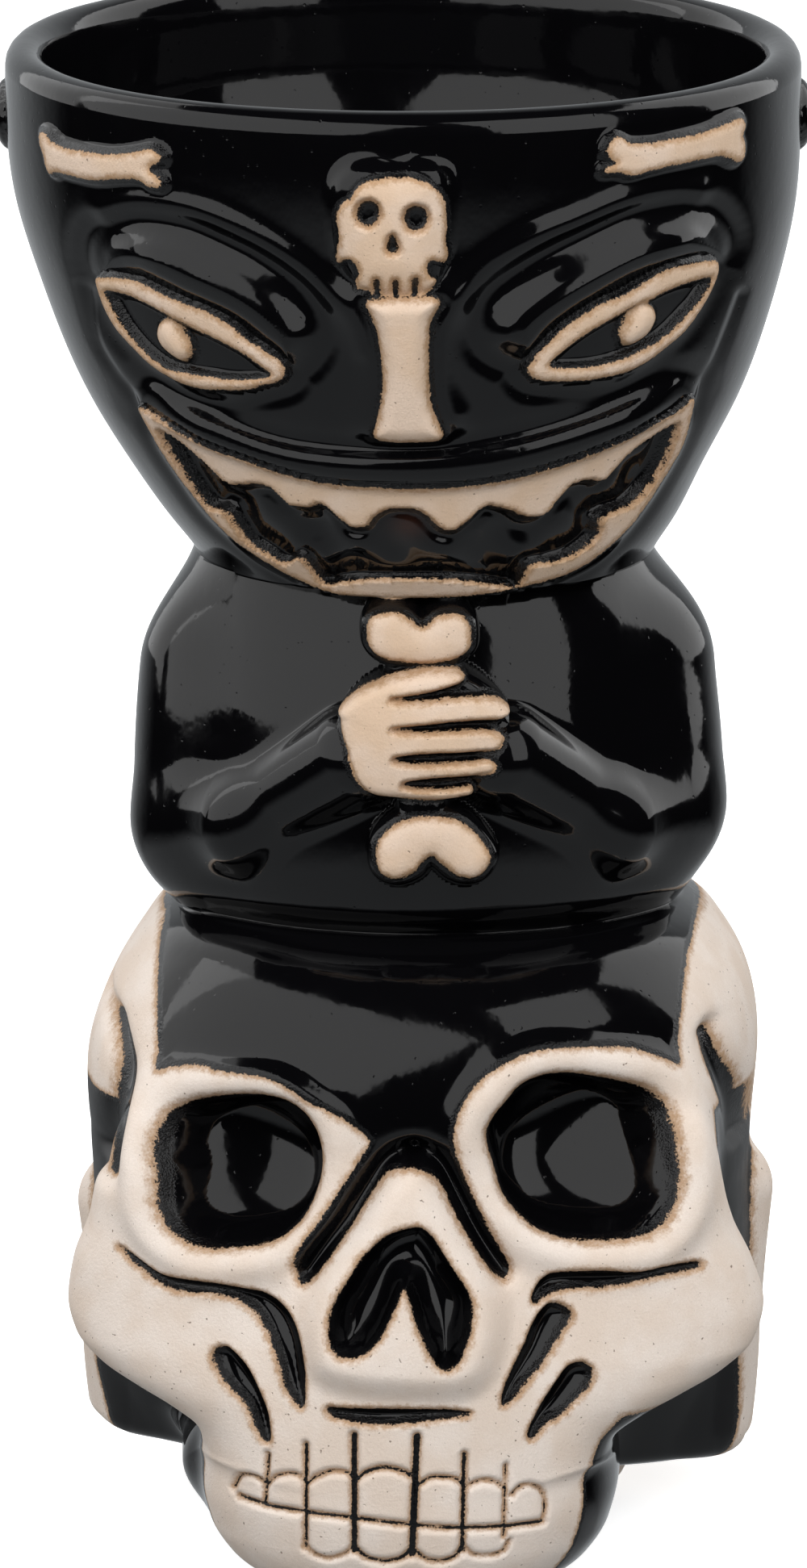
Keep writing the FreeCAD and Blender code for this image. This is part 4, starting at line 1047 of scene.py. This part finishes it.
neck_row = int(np.argmin(np.abs(ROWS_Z - NECK_Z)))
waist_row = int(np.argmin(np.abs(ROWS_Z - WAIST_Z)))
neck_inner = IN_0 + int(np.argmin(np.abs(inner_z - NECK_Z)))
waist_inner = IN_0 + int(np.argmin(np.abs(inner_z - WAIST_Z)))


def shell(low, high):
    """The outside between two rows: plain quads, and the pockets that the tiles lie in."""
    band = np.zeros(QUAD.shape, bool)
    band[low:high] = True
    plain = patch(band & (QUAD == 0))
    tiled = band & (QUAD > 0)
    edge = borders(tiled)
    pocket = patch(tiled) + OFFSET
    walls = np.stack([edge[:, 0], edge[:, 1], edge[:, 1] + OFFSET, edge[:, 0] + OFFSET], 1)
    return [plain, pocket, walls]


cols = np.arange(COLUMNS)


def strip(low, high):
    return quads(low, high, cols)


def strips(first, last):
    return [strip(k, k + 1) for k in range(first, last)]


head_faces = shell(neck_row, len(outer) - 1) + strips(OUT_END - 1, neck_inner)
head_faces += [strip(neck_inner, OUT_0 + neck_row)]
make_piece("head_cup_piece", np.concatenate(head_faces), "head_cup")
torso_faces = shell(waist_row, neck_row) + [strip(OUT_0 + neck_row, neck_inner)]
torso_faces += strips(neck_inner, waist_inner) + [strip(waist_inner, OUT_0 + waist_row)]
make_piece("torso_piece", np.concatenate(torso_faces), "torso")
skull_faces = strips(0, OUT_0) + shell(0, waist_row) + [strip(OUT_0 + waist_row, waist_inner)]
skull_faces += strips(waist_inner, TOTAL - 1)
caps = np.concatenate([
    np.stack([number(TOTAL - 1, cols), number(TOTAL - 1, cols + 1), np.full(COLUMNS, CENTRE_FLOOR)], 1),
    np.stack([number(0, cols + 1), number(0, cols), np.full(COLUMNS, CENTRE_FOOT)], 1),
])
make_piece("skull_piece", np.concatenate(skull_faces), "skull", caps)

# ---------------- floor, light and camera


def floor():
    mesh = bpy.data.meshes.new("floor")
    count, radius = 96, 4.0
    points = [(radius * math.cos(2 * math.pi * k / count), radius * math.sin(2 * math.pi * k / count), 0.0)
              for k in range(count)]
    mesh.from_pydata(points, [], [list(range(count))])
    piece = bpy.data.objects.new("floor", mesh)
    bpy.context.scene.collection.objects.link(piece)
    material = bpy.data.materials.new("floor_paper")
    material.use_nodes = True
    t = Nodes(material.node_tree)
    shader = material.node_tree.nodes["Principled BSDF"]
    where = t.new("ShaderNodeTexCoord").outputs["Object"]
    t.put(shader, Base_Color=t.mix(t.noise(where, 40.0), (0.93, 0.93, 0.93, 1), (0.95, 0.95, 0.95, 1)))
    shader.inputs["Roughness"].default_value = 0.9
    shader.inputs["Specular IOR Level"].default_value = 0.1
    shader.inputs["Emission Color"].default_value = (1.0, 1.0, 1.0, 1.0)
    shader.inputs["Emission Strength"].default_value = 0.7
    mesh.materials.append(material)
    piece.visible_glossy = False
    piece.visible_diffuse = False


LAMP_AIM = Vector((0.0, 0.0, 0.1))


def softbox(name, azimuth, elevation, distance, width, height, radiance, glossy=True):
    """A rectangle of light that faces the mug. Azimuth is from the front, to the right."""
    data = bpy.data.lights.new(name, "AREA")
    data.shape = "RECTANGLE"
    data.size, data.size_y = width, height
    data.energy = math.pi * width * height * radiance
    lamp = bpy.data.objects.new(name, data)
    a, e = math.radians(azimuth), math.radians(elevation)
    outwards = Vector((math.sin(a) * math.cos(e), -math.cos(a) * math.cos(e), math.sin(e)))
    lamp.location = LAMP_AIM + distance * outwards
    lamp.rotation_euler = (LAMP_AIM - lamp.location).to_track_quat("-Z", "Y").to_euler()
    lamp.visible_glossy = glossy
    bpy.context.scene.collection.objects.link(lamp)


def studio():
    world = bpy.data.worlds.new("studio")
    bpy.context.scene.world = world
    world.use_nodes = True
    t = Nodes(world.node_tree)
    background = world.node_tree.nodes["Background"]
    where = t.new("ShaderNodeTexCoord").outputs["Generated"]
    parts = t.new("ShaderNodeSeparateXYZ")
    t.put(parts, Vector=where)
    _, y, z = parts.outputs
    below = t.ramp(z, -0.25, -0.5, 0.0, 0.34)
    behind = t.ramp(y, 0.35, 0.9, 0.0, 0.5)
    level = t.add(t.maths("MAXIMUM", below, behind), 0.006)
    t.put(background, Color=(0.93, 0.97, 1.0, 1), Strength=level)
    softbox("key_left", -56, 30, 1.0, 2.1, 1.15, 1.15)
    softbox("side_left", -124, 30, 1.1, 0.85, 1.27, 1.0)
    softbox("key_right", 41, 30, 1.1, 0.74, 1.27, 1.2)
    softbox("side_right", 115, 30, 1.1, 0.85, 1.27, 1.5)
    softbox("fill_top", 0, 80, 1.4, 2.4, 2.4, 0.42, glossy=False)
    softbox("fill_front", 5, 34, 1.6, 1.6, 1.6, 2.0, glossy=False)
    softbox("fill_back", 180, 35, 1.6, 2.0, 1.4, 1.0, glossy=False)


LENS = 249.4
CAMERA_PLACE = (-0.0024, -1.3, 0.380767)
CAMERA_TILT = 12.5326  # degrees below level


def camera():
    data = bpy.data.cameras.new("camera")
    data.sensor_width = 36.0
    data.lens = LENS
    data.clip_end = 20.0
    view = bpy.data.objects.new("camera", data)
    view.location = CAMERA_PLACE
    view.rotation_euler = (math.radians(90 - CAMERA_TILT), 0.0, 0.0)
    bpy.context.scene.collection.objects.link(view)
    bpy.context.scene.camera = view


floor()
studio()
camera()
bpy.context.scene.view_settings.view_transform = "Standard"
